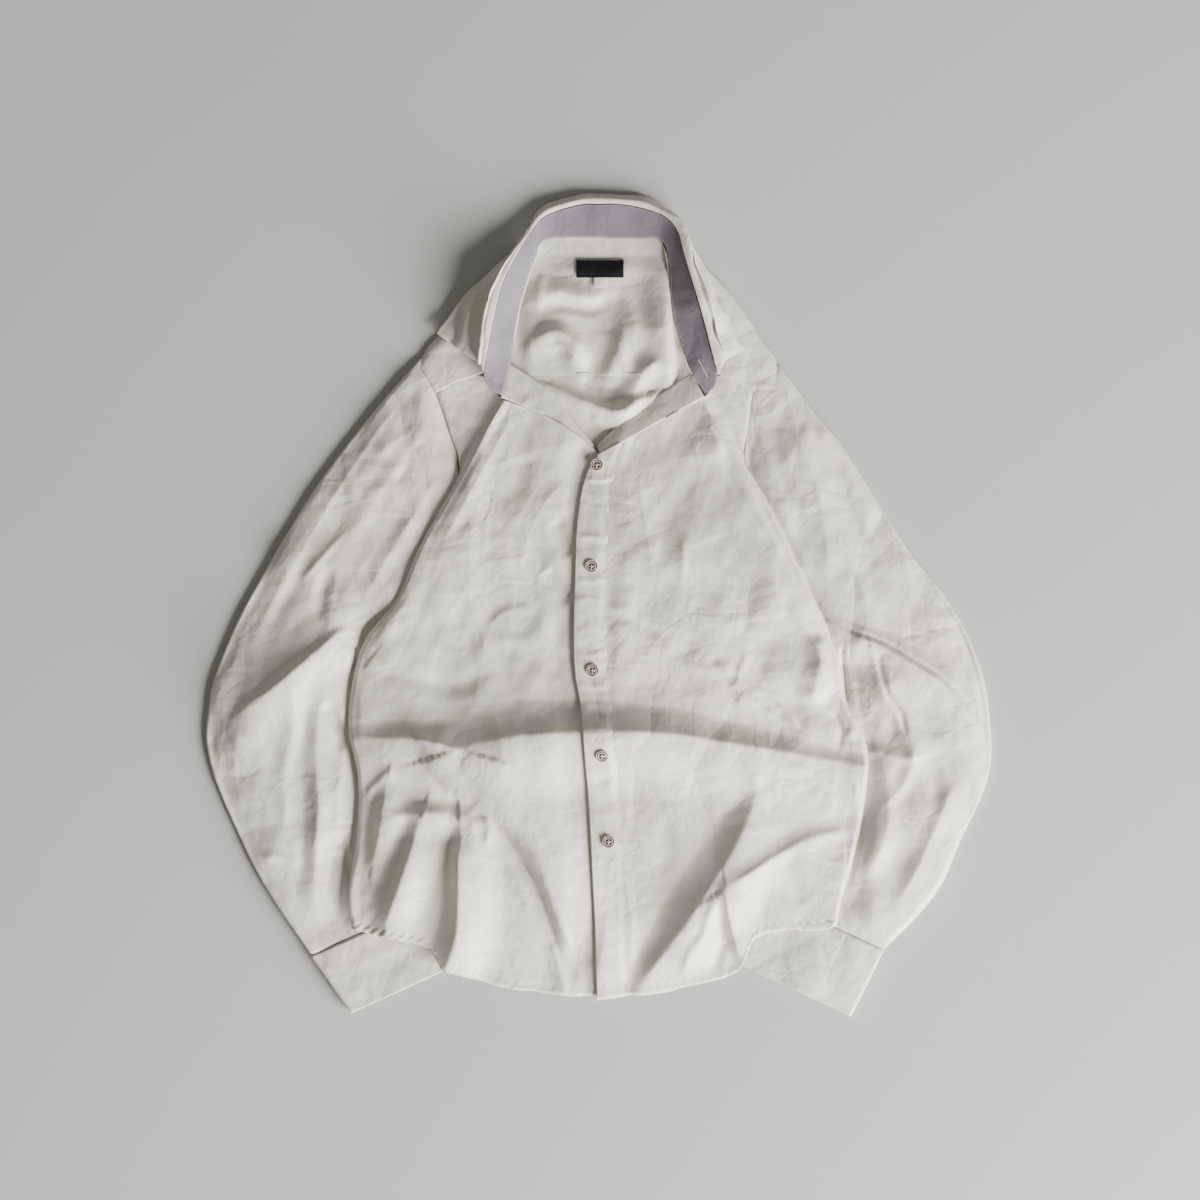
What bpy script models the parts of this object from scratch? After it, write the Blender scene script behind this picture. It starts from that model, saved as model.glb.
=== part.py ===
"""Crumpled button-up shirt, laid out on its back with the collar spread open.

The shirt lies face up, collar towards +Y and cuffs towards -Y. Left and right are the
wearer's, so the left front, which laps over, is at +X. Tables are in millimetres and the
meshes in metres. Each table row is one section through the cloth or one fold.
"""

import math
from typing import NamedTuple

import bmesh
import bpy
import numpy as np
from mathutils import Vector

MM = 0.001

# Cloth and gaps, in millimetres
WALL = 1.2
STAND_WALL = 1.5
CUFF_WALL = 1.5
LABEL_WALL = 1.0
PLACKET_WALL = 1.0
SEAM_GAP = 0.3

# Heights above the surface, in millimetres
SLEEVE_FLAT = 5.0
TUCK_Z = 7.0
SIDE_FOLD = 6.6
CUFF_LIFT = 3.0
CUFF_DEPTH = 5.4
CHEST_DOME = 9.0
LAP_STEP = 3.4

# Run of the cloth round a front's side fold, and the run in which the lapped front drops
FOLD_TURN = 3.4
LAP_RUN = 26.0

PLACKET_WIDTH = 33.0
NECK_TURN_LEFT_Z = 7.5
NECK_TURN_RIGHT_Z = 6.5
NECK_TURN_RIGHT_DROP = 3.0

# Where the shirt's middle lies in the tables
MIDDLE = (-0.92, -0.39)

PLACKET_LIFT = 0.45
LABEL_LIFT = 1.4
TAG_LIFT = 0.3
COLLAR_BUTTON_Z = 14.3
CUFF_BUTTON_Z = 0.2

BUTTON_RADIUS = 5.75
BUTTON_THICK = 2.4
BUTTON_RIM = 1.3
BUTTON_HOLE_RADIUS = 0.75
BUTTON_HOLE_PITCH = 1.5
BUTTON_SEGMENTS = 12
HOLE_SEGMENTS = 5
PIN_LENGTH = 6.0

# Colour, roughness and metallic value of each material
COTTON = ((0.83, 0.82, 0.76), 0.55, 0.0)
LAVENDER = ((0.50, 0.47, 0.52), 0.65, 0.0)
LABEL_BLACK = ((0.02, 0.02, 0.025), 0.5, 0.0)
TAG_WHITE = ((0.85, 0.85, 0.83), 0.6, 0.0)
BUTTON_PEARL = ((0.66, 0.58, 0.54), 0.3, 0.0)


class FrontRow(NamedTuple):
    """One section across a front: placket edge, side fold, the cloth tucked under, seam."""

    edge: tuple
    fold: tuple
    tuck: tuple
    seam: tuple
    seam_z: float
    bow: float


class SleeveRow(NamedTuple):
    """One section across a flattened sleeve: its outer and inner folds, its puff and the
    share of its width, from the outer fold, that the puff takes up."""

    outer: tuple
    inner: tuple
    puff: float
    reach: float = 0.84


class YokeRow(NamedTuple):
    """One section of the yoke: back seam, shoulder fold, neck or front seam."""

    back: tuple
    fold: tuple
    neck: tuple
    fold_z: float
    neck_z: float


class CollarRow(NamedTuple):
    """One section of the collar: neck seam, top edge, roll and free edge of the leaf."""

    seam: tuple
    top: tuple
    roll: tuple
    edge: tuple
    seam_z: float
    top_z: float
    edge_z: float


class Fold(NamedTuple):
    """One fold: the crest's path, its height and its widths left and right of the path."""

    path: tuple
    height: float
    left: float
    right: float


LEFT_FRONT = (
    FrontRow((-2, 142), (100, 198), (115, 218), (148.3, 201.5), 6.2, 0),
    FrontRow((-11, 128), (108, 180), (124, 194), (143.2, 187), 6.4, 0),
    FrontRow((-17, 109), (121, 159), (131, 167), (139.6, 164), 6.2, 0),
    FrontRow((-21, 85), (134, 138), (137, 140), (136, 138), 5.0, 0),
    FrontRow((-23, 57), (161, 93), (149, 89), (142, 84), 0.0, 0),
    FrontRow((-24, 19), (191, 30), (178, 27), (168, 24), 0.0, 0),
    FrontRow((-25, -19), (211, -11), (197, -15), (186, -16), 0.0, 0),
    FrontRow((-24, -62), (224, -45), (208, -50), (196, -51), 0.0, 0),
    FrontRow((-18, -100), (234, -95), (216, -97), (204, -96), 0.0, 0),
    FrontRow((-15, -138), (253, -136), (232, -135), (216, -134), 0.0, 0),
    FrontRow((-11, -186), (250, -190), (230, -184), (216, -178), 0.0, 0),
    FrontRow((-8, -243), (239, -243), (216, -226), (202, -214), 0.0, -4),
    FrontRow((-5, -304), (229, -278), (206, -254), (188, -240), 5.0, -10),
    FrontRow((-3, -374), (224, -304), (198, -278), (176, -264), 11.0, -16),
)

RIGHT_FRONT = (
    FrontRow((11, 132), (-93, 195), (-116, 218), (-157.4, 201.5), 6.2, 10),
    FrontRow((8, 118), (-103, 178), (-126, 194), (-150.6, 186), 6.4, 5),
    FrontRow((4, 99), (-115, 156), (-134, 165), (-142.4, 163), 6.2, 0),
    FrontRow((2, 76), (-126, 135), (-134, 139), (-134, 137), 5.0, 0),
    FrontRow((1, 52), (-146, 99), (-134, 98), (-126, 96), 0.0, 0),
    FrontRow((0, 19), (-171, 55), (-160, 52), (-150, 50), 0.0, 0),
    FrontRow((0, -19), (-192, 7), (-179, 4), (-168, 2), 0.0, 0),
    FrontRow((0, -57), (-222, -33), (-208, -38), (-196, -42), 0.0, 0),
    FrontRow((4, -100), (-234, -72), (-216, -75), (-204, -77), 0.0, 0),
    FrontRow((8, -138), (-238, -117), (-219, -117), (-205, -117), 0.0, 0),
    FrontRow((11, -186), (-229, -165), (-209, -163), (-196, -162), 0.0, 0),
    FrontRow((16, -243), (-230, -222), (-209, -212), (-196, -204), 0.0, -4),
    FrontRow((18, -304), (-238, -271), (-211, -254), (-192, -240), 5.0, -11),
    FrontRow((20, -372), (-235, -307), (-206, -282), (-184, -268), 11.0, -19),
)

LEFT_ARMHOLE = ((173, 224), (161, 214), (149, 202), (142, 180), (137, 139))
RIGHT_ARMHOLE = ((-174, 230), (-166, 216), (-159, 202), (-149, 180), (-135, 138))

LEFT_SLEEVE = (
    SleeveRow((173, 224), (137, 138), 2),
    SleeveRow((201, 186), (145, 111), 6),
    SleeveRow((230, 151), (153, 83), 9),
    SleeveRow((255, 111), (167, 53), 10),
    SleeveRow((278, 74), (182, 21), 10),
    SleeveRow((302, 40), (194, -3), 9),
    SleeveRow((325, 12), (204, -24), 9),
    SleeveRow((344, -19), (212, -43), 9),
    SleeveRow((357, -48), (218, -64), 9),
    SleeveRow((366, -76), (222, -86), 9),
    SleeveRow((370, -106), (226, -108), 9),
    SleeveRow((372, -137), (236, -133), 9),
    SleeveRow((369, -162), (239, -159), 9),
    SleeveRow((359, -190), (238, -186), 9),
    SleeveRow((343, -223), (231, -211), 8),
    SleeveRow((326, -263), (216, -237), 6, 0.7),
    SleeveRow((303, -294), (186.5, -256), 4, 0.5),
    SleeveRow((269, -328), (149, -271.6), 1.5, 0.4),
)

RIGHT_SLEEVE = (
    SleeveRow((-174, 230), (-135, 138), 2),
    SleeveRow((-200, 201), (-133, 118), 6),
    SleeveRow((-229, 166), (-133, 101), 9),
    SleeveRow((-256, 131), (-149, 76), 10),
    SleeveRow((-280, 96), (-163, 54), 9),
    SleeveRow((-303, 58), (-174, 26), 9),
    SleeveRow((-324, 22), (-184, 2), 9),
    SleeveRow((-341, -9), (-198, -24), 9),
    SleeveRow((-355, -40), (-211, -48), 9),
    SleeveRow((-367, -72), (-219, -70), 9),
    SleeveRow((-372, -100), (-223, -91), 9),
    SleeveRow((-374, -129), (-225, -112), 9),
    SleeveRow((-368, -159), (-223, -136), 9),
    SleeveRow((-357, -188), (-217, -163), 9),
    SleeveRow((-343, -219), (-214, -190), 8),
    SleeveRow((-328, -250), (-214, -222), 6, 0.7),
    SleeveRow((-307, -285), (-206, -256), 4, 0.5),
    SleeveRow((-274, -333), (-182, -293), 1.5, 0.4),
)

LEFT_CUFF = (
    SleeveRow((268.6, -329), (148.3, -272.5), 1.5, 0.4),
    SleeveRow((238, -390.5), (116.9, -334.1), 2.5, 0.8),
)
RIGHT_CUFF = (
    SleeveRow((-273.6, -334), (-181.4, -294), 1.5, 0.4),
    SleeveRow((-236, -387.5), (-138, -343), 2.5, 0.8),
)

LEFT_YOKE = (
    YokeRow((0, 221), (0, 300), (0, 349.5), 0.0, 2.0),
    YokeRow((26, 221), (30, 305), (32, 349.5), 0.0, 2.0),
    YokeRow((50, 221), (56, 318), (55, 346), 0.4, 2.8),
    YokeRow((76, 221), (88, 326), (66, 327), 3.0, 6.8),
    YokeRow((98, 221), (113, 306), (68, 288), 3.2, 7.2),
    YokeRow((119, 221), (134, 280), (76, 249), 3.2, 7.6),
    YokeRow((138, 220), (151, 253), (108, 224), 3.2, 7.4),
    YokeRow((150, 217), (163, 238), (130, 214), 3.0, 7.0),
    YokeRow((158.5, 213.4), (171.4, 224), (148.2, 203.6), 2.6, 6.2),
)

RIGHT_YOKE = (
    YokeRow((0, 221), (0, 300), (0, 349.5), 0.0, 2.0),
    YokeRow((-26, 221), (-30, 305), (-32, 349.5), 0.0, 2.0),
    YokeRow((-50, 221), (-54, 318), (-54, 346), 0.4, 2.5),
    YokeRow((-76, 221), (-84, 322), (-64, 327), 3.0, 6.5),
    YokeRow((-98, 221), (-106, 300), (-77, 288), 3.2, 7.2),
    YokeRow((-119, 221), (-126, 275), (-86, 249), 3.2, 7.6),
    YokeRow((-138, 220), (-152, 255), (-110, 224), 3.2, 7.4),
    YokeRow((-152, 217), (-163.5, 243.5), (-137, 214), 3.0, 7.0),
    YokeRow((-162.5, 213.4), (-171.8, 228.5), (-157.2, 204), 2.6, 6.2),
)

COLLAR = (
    CollarRow((-93, 198), (-101, 201), (-112, 216), (-152, 246), 18.6, 19.6, 9.8),
    CollarRow((-91, 203), (-107, 208), (-114, 220), (-154, 250), 18.2, 21.0, 9.8),
    CollarRow((-89, 210), (-110, 220), (-116, 228), (-155, 257), 16.4, 23.0, 9.6),
    CollarRow((-83, 241), (-106, 242), (-114, 250), (-144, 273), 11.6, 26.0, 9.4),
    CollarRow((-78, 278), (-99, 277), (-109, 281), (-130, 291), 9.0, 26.5, 9.2),
    CollarRow((-71, 302), (-92, 304), (-102, 307), (-114, 309), 8.6, 23.0, 9.0),
    CollarRow((-63, 327), (-79, 330), (-87, 335), (-95, 330), 8.4, 18.0, 6.5),
    CollarRow((-57, 341), (-65, 354), (-71, 358), (-75, 353), 6.4, 12.0, 3.2),
    CollarRow((-47, 347), (-51, 369), (-56, 376), (-57, 363), 5.4, 8.6, 2.0),
    CollarRow((-19, 348), (-21, 379), (-22, 387), (-22, 363), 5.2, 7.4, 1.4),
    CollarRow((0, 348), (0, 380), (0, 389), (0, 363), 5.2, 7.2, 1.4),
    CollarRow((13, 347), (17, 380), (19, 388), (19, 363), 5.2, 7.4, 1.4),
    CollarRow((39, 347), (40, 376), (45, 385), (43, 361), 5.4, 8.4, 2.0),
    CollarRow((55, 347), (61, 368), (69, 372), (72, 355), 6.4, 11.0, 3.2),
    CollarRow((63, 337), (73, 354), (82, 355), (86, 340), 8.4, 15.0, 6.5),
    CollarRow((66, 318), (80, 329), (89, 331), (96, 325), 8.6, 20.0, 9.0),
    CollarRow((67, 285), (92, 289), (102, 292), (112, 288), 9.0, 24.0, 9.2),
    CollarRow((72, 265), (98, 268), (108, 271), (124, 267), 9.4, 23.0, 9.4),
    CollarRow((80, 237), (106, 237), (116, 246), (134, 247), 12.0, 22.0, 9.6),
    CollarRow((87, 219), (111, 217), (118, 231), (136, 241), 15.6, 20.0, 9.8),
    CollarRow((94, 208), (109, 207), (117, 228), (135, 238), 17.0, 19.0, 9.8),
    CollarRow((99, 200), (104, 202), (116, 226), (134, 236), 17.6, 18.4, 9.8),
)
LEAF_FIRST = 2
LEAF_LAST = 19

LEFT_TURN_LINE = ((96, 197), (64, 179.2), (29, 160), (0, 144.2))
LEFT_TURN_INNER = ((83, 218), (58, 200), (27, 179), (-2, 152))
RIGHT_TURN_LINE = ((-90, 195.6), (-66, 186.7), (-41, 175), (-16, 157.5))
RIGHT_TURN_INNER = ((-84, 228), (-62, 214), (-43, 197), (-14, 166))

BACK_ARMHOLE_LEFT = ((156, 212), (145.5, 200), (139, 178), (134, 137))
BACK_ARMHOLE_RIGHT = ((-160, 212), (-154, 200), (-145.5, 178), (-130.5, 136))
BACK_HEM_LEFT = ((152, -284), (122, -324))
BACK_HEM_RIGHT = ((-160, -288), (-126, -328))
BACK_HEM_DIP = 30.0
SIDE_INSET = 2.6

BODY_FOLDS = (
    Fold(((-228, -131), (-176, -124), (-147, -133), (-109, -121), (-66, -119), (28, -121),
          (76, -124), (124, -131), (171, -138), (228, -152)), 13.0, 26, 64),
    Fold(((-145, -150), (-112, -170), (-70, -204), (-48, -244), (-30, -290), (-14, -330)), 9.0, 60, 17),
    Fold(((150, -170), (146, -205), (128, -247), (92, -290), (66, -330), (50, -362)), 11.0, 52, 18),
    Fold(((-190, -172), (-206, -232), (-222, -300)), 6.0, 22, 12),
    Fold(((-166, -215), (-178, -252), (-192, -300)), 6.0, 20, 12),
    Fold(((-114, -215), (-126, -252), (-132, -290), (-144, -336)), 7.0, 30, 13),
    Fold(((128, -290), (106, -320), (92, -352)), 6.0, 26, 13),
    Fold(((-84, 190), (-112, 120), (-140, 60), (-170, 10), (-200, -30)), 5.0, 46, 30),
    Fold(((96, 192), (120, 140), (150, 84), (180, 30), (206, -16)), 5.0, 24, 60),
)

LEFT_SLEEVE_FOLDS = (
    Fold(((215, -17), (252, -29), (285, -45), (323, -72), (352, -102), (371, -137)), 7.0, 40, 14),
    Fold(((290, 52), (330, 0), (352, -44), (364, -92), (368, -140)), 3.5, 14, 20),
    Fold(((352, -158), (326, -224), (300, -286)), 5.0, 30, 14),
    Fold(((262, -46), (270, -74), (284, -104)), 4.0, 20, 9),
)
RIGHT_SLEEVE_FOLDS = (
    Fold(((-367, -139), (-328, -90), (-283, -55), (-245, -34), (-226, -42)), 8.0, 9, 46),
    Fold(((-236, -60), (-252, -110), (-262, -157), (-265, -252), (-264, -322)), 6.0, 26, 13),
    Fold(((-330, -60), (-338, -140), (-322, -220), (-296, -290)), 4.0, 26, 20),
    Fold(((-176, 200), (-222, 120), (-262, 40), (-300, -30)), 3.5, 30, 26),
)
NECK_FOLDS = (
    Fold(((-50, 308), (-36, 288), (-14, 270), (12, 262)), 4.0, 14, 10),
    Fold(((-60, 262), (-44, 240), (-22, 226), (2, 216)), 4.0, 14, 10),
    Fold(((34, 300), (46, 270), (52, 240)), 3.0, 16, 12),
)

BUTTON_PLACES = ((-3, 132), (-8, 36), (-7, -62), (2, -142), (8, -224))
COLLAR_BUTTON_PLACE = (-101, 213)
LEFT_CUFF_BUTTON = (214, -352)
RIGHT_CUFF_BUTTON = (-214, -352)
LABEL_BOX = ((-22.5, 310), (22.5, 328))
TAG_BOX = ((-6, 301), (6, 309.4))

# Rise of each front's hem over the cuff: its height, and where it starts, is full, falls and ends
LEFT_HEM_RISE = (27.0, 121, 134, 140, 225)
RIGHT_HEM_RISE = (14.0, 146, 164, 170, 235)
HEM_RISE_SECTIONS = 8

# The back's top corners rise to the armholes, and its top edge stops at the yoke seam
BACK_ARMHOLE_LIFT = 8.5
BACK_SEAM_Y = 220.4

FRONT_SECTIONS = 35
FRONT_TOP_COLUMNS = 13
FRONT_TUCK_COLUMNS = 8
SLEEVE_SECTIONS = 24
BACK_SECTIONS = 27
BACK_COLUMNS = 11
RING_POINTS = 20
PLACKET_COLUMNS = 4
YOKE_SECTIONS = 17
CUFF_SECTIONS = 4
TURN_SECTIONS = 9
LEAF_COLUMNS = 9
ARMHOLE_SAMPLES = 41


def smooth_step(value):
    """Rise smoothly from 0 at 0 to 1 at 1."""
    value = np.clip(value, 0.0, 1.0)
    return value * value * (3.0 - 2.0 * value)


def through(points, places):
    """Read a smooth curve through rows of numbers at the given row places."""
    points = np.asarray(points, dtype=float)
    padded = np.vstack([2 * points[0] - points[1], points, 2 * points[-1] - points[-2]])
    result = []
    for place in places:
        index = min(int(place), len(points) - 2)
        t = place - index
        before, start, end, after = padded[index:index + 4]
        result.append(0.5 * (
            2 * start + (end - before) * t
            + (2 * before - 5 * start + 4 * end - after) * t * t
            + (3 * start - before - 3 * end + after) * t ** 3
        ))
    return np.array(result)


def evenly(points, count):
    """Read evenly spaced points from a smooth curve through rows of numbers."""
    return through(points, np.linspace(0, len(points) - 1, count))


def fold_height(folds, x, y):
    """Add up the height of the given folds at the points x, y."""
    total = np.zeros(np.broadcast(x, y).shape)
    for fold in folds:
        path = np.asarray(fold.path, dtype=float)
        lengths = np.hypot(*np.diff(path, axis=0).T)
        whole = lengths.sum()
        nearest = np.full(total.shape, np.inf)
        side = np.zeros(total.shape)
        along = np.zeros(total.shape)
        done = 0.0
        for start, end, length in zip(path[:-1], path[1:], lengths):
            step = (end - start) / length
            run = np.clip((x - start[0]) * step[0] + (y - start[1]) * step[1], 0, length)
            away_x = x - start[0] - run * step[0]
            away_y = y - start[1] - run * step[1]
            away = np.hypot(away_x, away_y)
            closer = away < nearest
            nearest = np.where(closer, away, nearest)
            side = np.where(closer, step[0] * away_y - step[1] * away_x, side)
            along = np.where(closer, (done + run) / whole, along)
            done += length
        width = np.where(side > 0, fold.left, fold.right)
        ends = smooth_step(along / 0.16) * smooth_step((1 - along) / 0.16)
        total += fold.height * (0.25 + 0.75 * ends) * (1 - smooth_step(nearest / width))
    return total


def body_height(x, y):
    """Height of the upper face of the fronts."""
    across = np.clip(1 - (x / 235.0) ** 2, 0, 1)
    chest = CHEST_DOME * across * smooth_step((150 - y) / 120) * smooth_step((y + 380) / 160)
    hem_drop = 3.5 * across * smooth_step((-y - 290) / 80)
    inside = smooth_step((y + 392) / 60)
    return tuck_height(x, y) + SIDE_FOLD + chest - hem_drop + inside * fold_height(BODY_FOLDS, x, y)


def tuck_height(x, y):
    """Height of the lower face of the cloth tucked under, clear of sleeve and cuff."""
    over_cuff = smooth_step((-y - 215) / 45) * smooth_step((np.abs(x) - 110) / 40)
    return TUCK_Z + (CUFF_LIFT + 1.0) * over_cuff


def floor_height(x, y):
    """Height of the lower face of the back and the yoke, which lie on the surface."""
    window = smooth_step((68 - np.abs(x)) / 20) * smooth_step((334 - y) / 20) * smooth_step((y - 190) / 20)
    return window * fold_height(NECK_FOLDS, x, y)


def hem_rise(rise, across):
    """Read how far the hem rises at a distance from the shirt's middle."""
    height, start, full, falling, end = rise
    return height * smooth_step((across - start) / (full - start)) * (
        1 - smooth_step((across - falling) / (end - falling)))


def front_grid(table, rise, lap_drop):
    """Work out the outer face of one front, section by section."""
    rows = evenly([row.edge + row.fold + row.tuck + row.seam + (row.seam_z, row.bow) for row in table],
                  FRONT_SECTIONS)
    grid = []
    for index, row in enumerate(rows):
        near_hem = smooth_step((index - FRONT_SECTIONS + 1 + HEM_RISE_SECTIONS) / HEM_RISE_SECTIONS)
        edge, fold, tuck, seam, seam_z, bow = row[0:2], row[2:4], row[4:6], row[6:8], row[8], row[9]
        run = fold - edge
        length = np.hypot(*run)
        step = run / length
        placket_share = PLACKET_WIDTH / (length - FOLD_TURN)
        shares = np.concatenate([
            np.linspace(0, placket_share, PLACKET_COLUMNS)[:-1],
            np.linspace(placket_share, 1, FRONT_TOP_COLUMNS - PLACKET_COLUMNS + 1),
        ])
        section = []
        for share in shares:
            place = edge + step * (length - FOLD_TURN) * share
            place = place + np.array([0.0, 1.0]) * bow * math.sin(math.pi * share)
            place[1] += near_hem * hem_rise(rise, abs(place[0]))
            height = float(body_height(place[0], place[1]))
            drop = lap_drop * float(smooth_step((PLACKET_WIDTH + LAP_RUN - share * length) / LAP_RUN))
            section.append((place[0], place[1], height - drop))
        crest = section[-1]
        under_z = float(tuck_height(*tuck))
        under_z = min(under_z, crest[2] - SIDE_FOLD)
        low_z = max(under_z, seam_z)
        inward = fold + (tuck - fold) * 0.35
        stations = [
            section[-2], crest,
            (fold[0], fold[1], (crest[2] + low_z) / 2 + 0.6),
            (inward[0], inward[1], low_z + 0.1),
            (tuck[0], tuck[1], low_z),
            (seam[0], seam[1], seam_z),
        ]
        curve = through(stations, np.linspace(1, len(stations) - 1, FRONT_TUCK_COLUMNS + 1))
        grid.append(section[:-1] + [(x, y, max(z, 0.0)) for x, y, z in curve])
    return np.array(grid)


def sleeve_ring(outer, inner, bottom, depth, puff, reach, fold_rise, bend):
    """Work out one closed ring round a flattened tube, from its outer fold and back."""
    across = inner - outer
    width = np.hypot(*across)
    step = across / width
    radius = depth / 2
    half = RING_POINTS // 2
    ring = []
    for index in range(half):
        share = index / (half - 1)
        eased = 0.5 - 0.5 * math.cos(math.pi * share)
        spread = 0.35 * eased + 0.65 * share
        run = radius * 0.35 + (width - radius * 0.7) * spread
        place = outer + step * run + bend(spread)
        rim = math.sqrt(max(0.0, 1 - (1 - min(1.0, min(run, width - run) / radius)) ** 2))
        swell = puff * max(0.0, math.sin(math.pi * min(1.0, spread / reach))) ** 0.8
        rise = fold_rise(place[0], place[1]) * max(0.0, math.sin(math.pi * min(1.0, spread / 0.9)))
        top = bottom + radius + radius * rim + swell + rise
        low = bottom + radius - radius * rim
        ring.append((place[0], place[1], top, low))
    upper = [(x, y, top) for x, y, top, low in ring]
    lower = [(x, y, low) for x, y, top, low in reversed(ring)]
    return upper + lower


def sleeve_grid(table, armhole, folds):
    """Work out the outer face of one sleeve from its sections."""
    rows = evenly([row.outer + row.inner + (row.puff, row.reach) for row in table], SLEEVE_SECTIONS)
    curve = evenly(armhole, ARMHOLE_SAMPLES)
    chord = np.linspace(curve[0], curve[-1], ARMHOLE_SAMPLES)
    bow = curve - chord
    grid = []
    for index, row in enumerate(rows):
        fade = max(0.0, 1 - index / 5.0) ** 1.5
        end = smooth_step((index - SLEEVE_SECTIONS + 5.4) / 4.4)
        bottom = CUFF_LIFT * float(end)
        depth = SLEEVE_FLAT + (CUFF_DEPTH - SLEEVE_FLAT) * float(end)
        calm = 1 - float(smooth_step((index - SLEEVE_SECTIONS + 4.6) / 3.6))

        def bend(share, fade=fade):
            place = share * (ARMHOLE_SAMPLES - 1)
            lower = min(int(place), ARMHOLE_SAMPLES - 2)
            return fade * (bow[lower] + (bow[lower + 1] - bow[lower]) * (place - lower))

        def rise(x, y, calm=calm):
            return calm * float(fold_height(folds, x, y))

        grid.append(sleeve_ring(row[0:2], row[2:4], bottom, depth, row[4], row[5], rise, bend))
    return np.array(grid)


def cuff_grid(table):
    """Work out the outer face of one cuff, a flattened band."""
    rows = evenly([row.outer + row.inner + (row.puff, row.reach) for row in table], CUFF_SECTIONS)
    return np.array([
        sleeve_ring(row[0:2], row[2:4], CUFF_LIFT, CUFF_DEPTH, row[4], row[5],
                    lambda x, y: 0.0, lambda share: 0.0)
        for row in rows
    ])


def yoke_grid(table):
    """Work out half of the yoke, from the centre line out to the armhole."""
    rows = evenly([row.back + row.fold + row.neck + (row.fold_z, row.neck_z) for row in table], YOKE_SECTIONS)
    grid = []
    for row in rows:
        back, fold, neck, fold_z, neck_z = row[0:2], row[2:4], row[4:6], row[6], row[7]
        folded = float(smooth_step(fold_z / 3.0))
        section = []
        for share in np.linspace(0, 1, 5):
            place = back + (fold - back) * share * 0.95
            height = float(floor_height(place[0], place[1])) + max(0.0, fold_z) * share ** 6 * 0.3
            section.append((place[0], place[1], height))
        crest = 0.5 + 0.5 * folded
        over = fold + (neck - fold) * 0.18
        halfway = fold + (neck - fold) * 0.6
        section.append((fold[0], fold[1], fold_z * (0.9 + 0.1 * crest)))
        section.append((over[0], over[1], fold_z + (neck_z - fold_z) * (0.18 + 0.72 * folded)))
        section.append((halfway[0], halfway[1], fold_z + (neck_z - fold_z) * (0.6 + 0.4 * folded)))
        section.append((neck[0], neck[1], neck_z))
        grid.append([(x, y, max(z, 0.0)) for x, y, z in section])
    return grid


def back_side(armhole, table, hem):
    """Trace one side edge of the back: armhole, side seam and hem, just inside the front's seam."""
    seam = [(row.seam[0] - math.copysign(SIDE_INSET, row.seam[0]), row.seam[1]) for row in table[4:]]
    return evenly(list(armhole) + seam + list(hem), BACK_SECTIONS)


def back_grid():
    """Work out the back from the yoke seam down to the hem, flat on the surface."""
    left = back_side(BACK_ARMHOLE_LEFT, LEFT_FRONT, BACK_HEM_LEFT)
    right = back_side(BACK_ARMHOLE_RIGHT, RIGHT_FRONT, BACK_HEM_RIGHT)
    grid = []
    for index, (start, end) in enumerate(zip(right, left)):
        lift = BACK_ARMHOLE_LIFT * max(0.0, 1 - index / 5.0) ** 2
        dip = -BACK_HEM_DIP * float(smooth_step((index - BACK_SECTIONS + 9) / 8.0))
        row = []
        for share in np.linspace(0, 1, BACK_COLUMNS):
            x, y = start + (end - start) * share
            y = min(y + (lift + dip) * math.sin(math.pi * share) ** 0.7, BACK_SEAM_Y)
            row.append((x, y, float(floor_height(x, y))))
        grid.append(row)
    return np.array(grid)


def stand_grid(rows):
    """Work out the face of the collar stand that shows."""
    grid = []
    for row in rows:
        seam, top, seam_z, top_z = row[0:2], row[2:4], row[8], row[9]
        grid.append([
            (*(seam + (top - seam) * share), seam_z + (top_z - seam_z) * share)
            for share in (0.0, 0.35, 0.7, 1.0)
        ])
    return np.array(grid)


def leaf_grid(rows):
    """Work out the outer face of the collar leaf, from its root over the roll to its edge."""
    grid = []
    for row in rows:
        top, roll, edge, top_z, edge_z = row[2:4], row[4:6], row[6:8], row[9], row[10]
        flat = float(smooth_step((12.5 - top_z) / 4.0))
        out = roll - top
        root_z = top_z + WALL + 0.5
        roll_z = root_z - 0.6 - (root_z - 0.6 - 4.6) * flat
        fall = edge + (roll - edge) * 0.55
        near = edge + (roll - edge) * 0.22
        stations = [
            (*top, root_z),
            (*(top + out * 0.55), root_z + 0.5),
            (*(top + out * (0.97)), roll_z),
            (*roll, (roll_z - 1.2) * (1 - flat) + 3.0 * flat),
            (*fall, (edge_z + (roll_z - edge_z) * 0.5) * (1 - flat) + 1.5 * flat),
            (*near, (edge_z + (roll_z - edge_z) * 0.12) * (1 - flat) + 1.4 * flat),
            (*edge, edge_z),
        ]
        grid.append(evenly(stations, LEAF_COLUMNS))
    return np.array(grid)


def turn_grid(line, inner, drop, end_z):
    """Work out one strip of front turned in at the open neck, lower by the drop at its end."""
    outer_row = evenly(line, TURN_SECTIONS)
    inner_row = evenly(inner, TURN_SECTIONS)
    grid = []
    for index, ((x, y), place) in enumerate(zip(outer_row, inner_row)):
        high = float(body_height(x, y)) - drop * (index / (TURN_SECTIONS - 1)) ** 2
        row = []
        for share in (0.0, 0.3, 0.65, 1.0):
            spot = np.array([x, y]) + (place - np.array([x, y])) * share
            row.append((spot[0], spot[1], high + (end_z - high) * share ** 1.3))
        grid.append(row)
    return np.array(grid)


def patch_grid(box, lift, columns):
    """Work out a small flat piece that lies on the inside of the yoke."""
    (x0, y0), (x1, y1) = box
    return np.array([
        [(x, y, float(floor_height(x, y)) + WALL + lift) for x in np.linspace(x0, x1, columns)]
        for y in np.linspace(y1, y0, 3)
    ])


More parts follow.
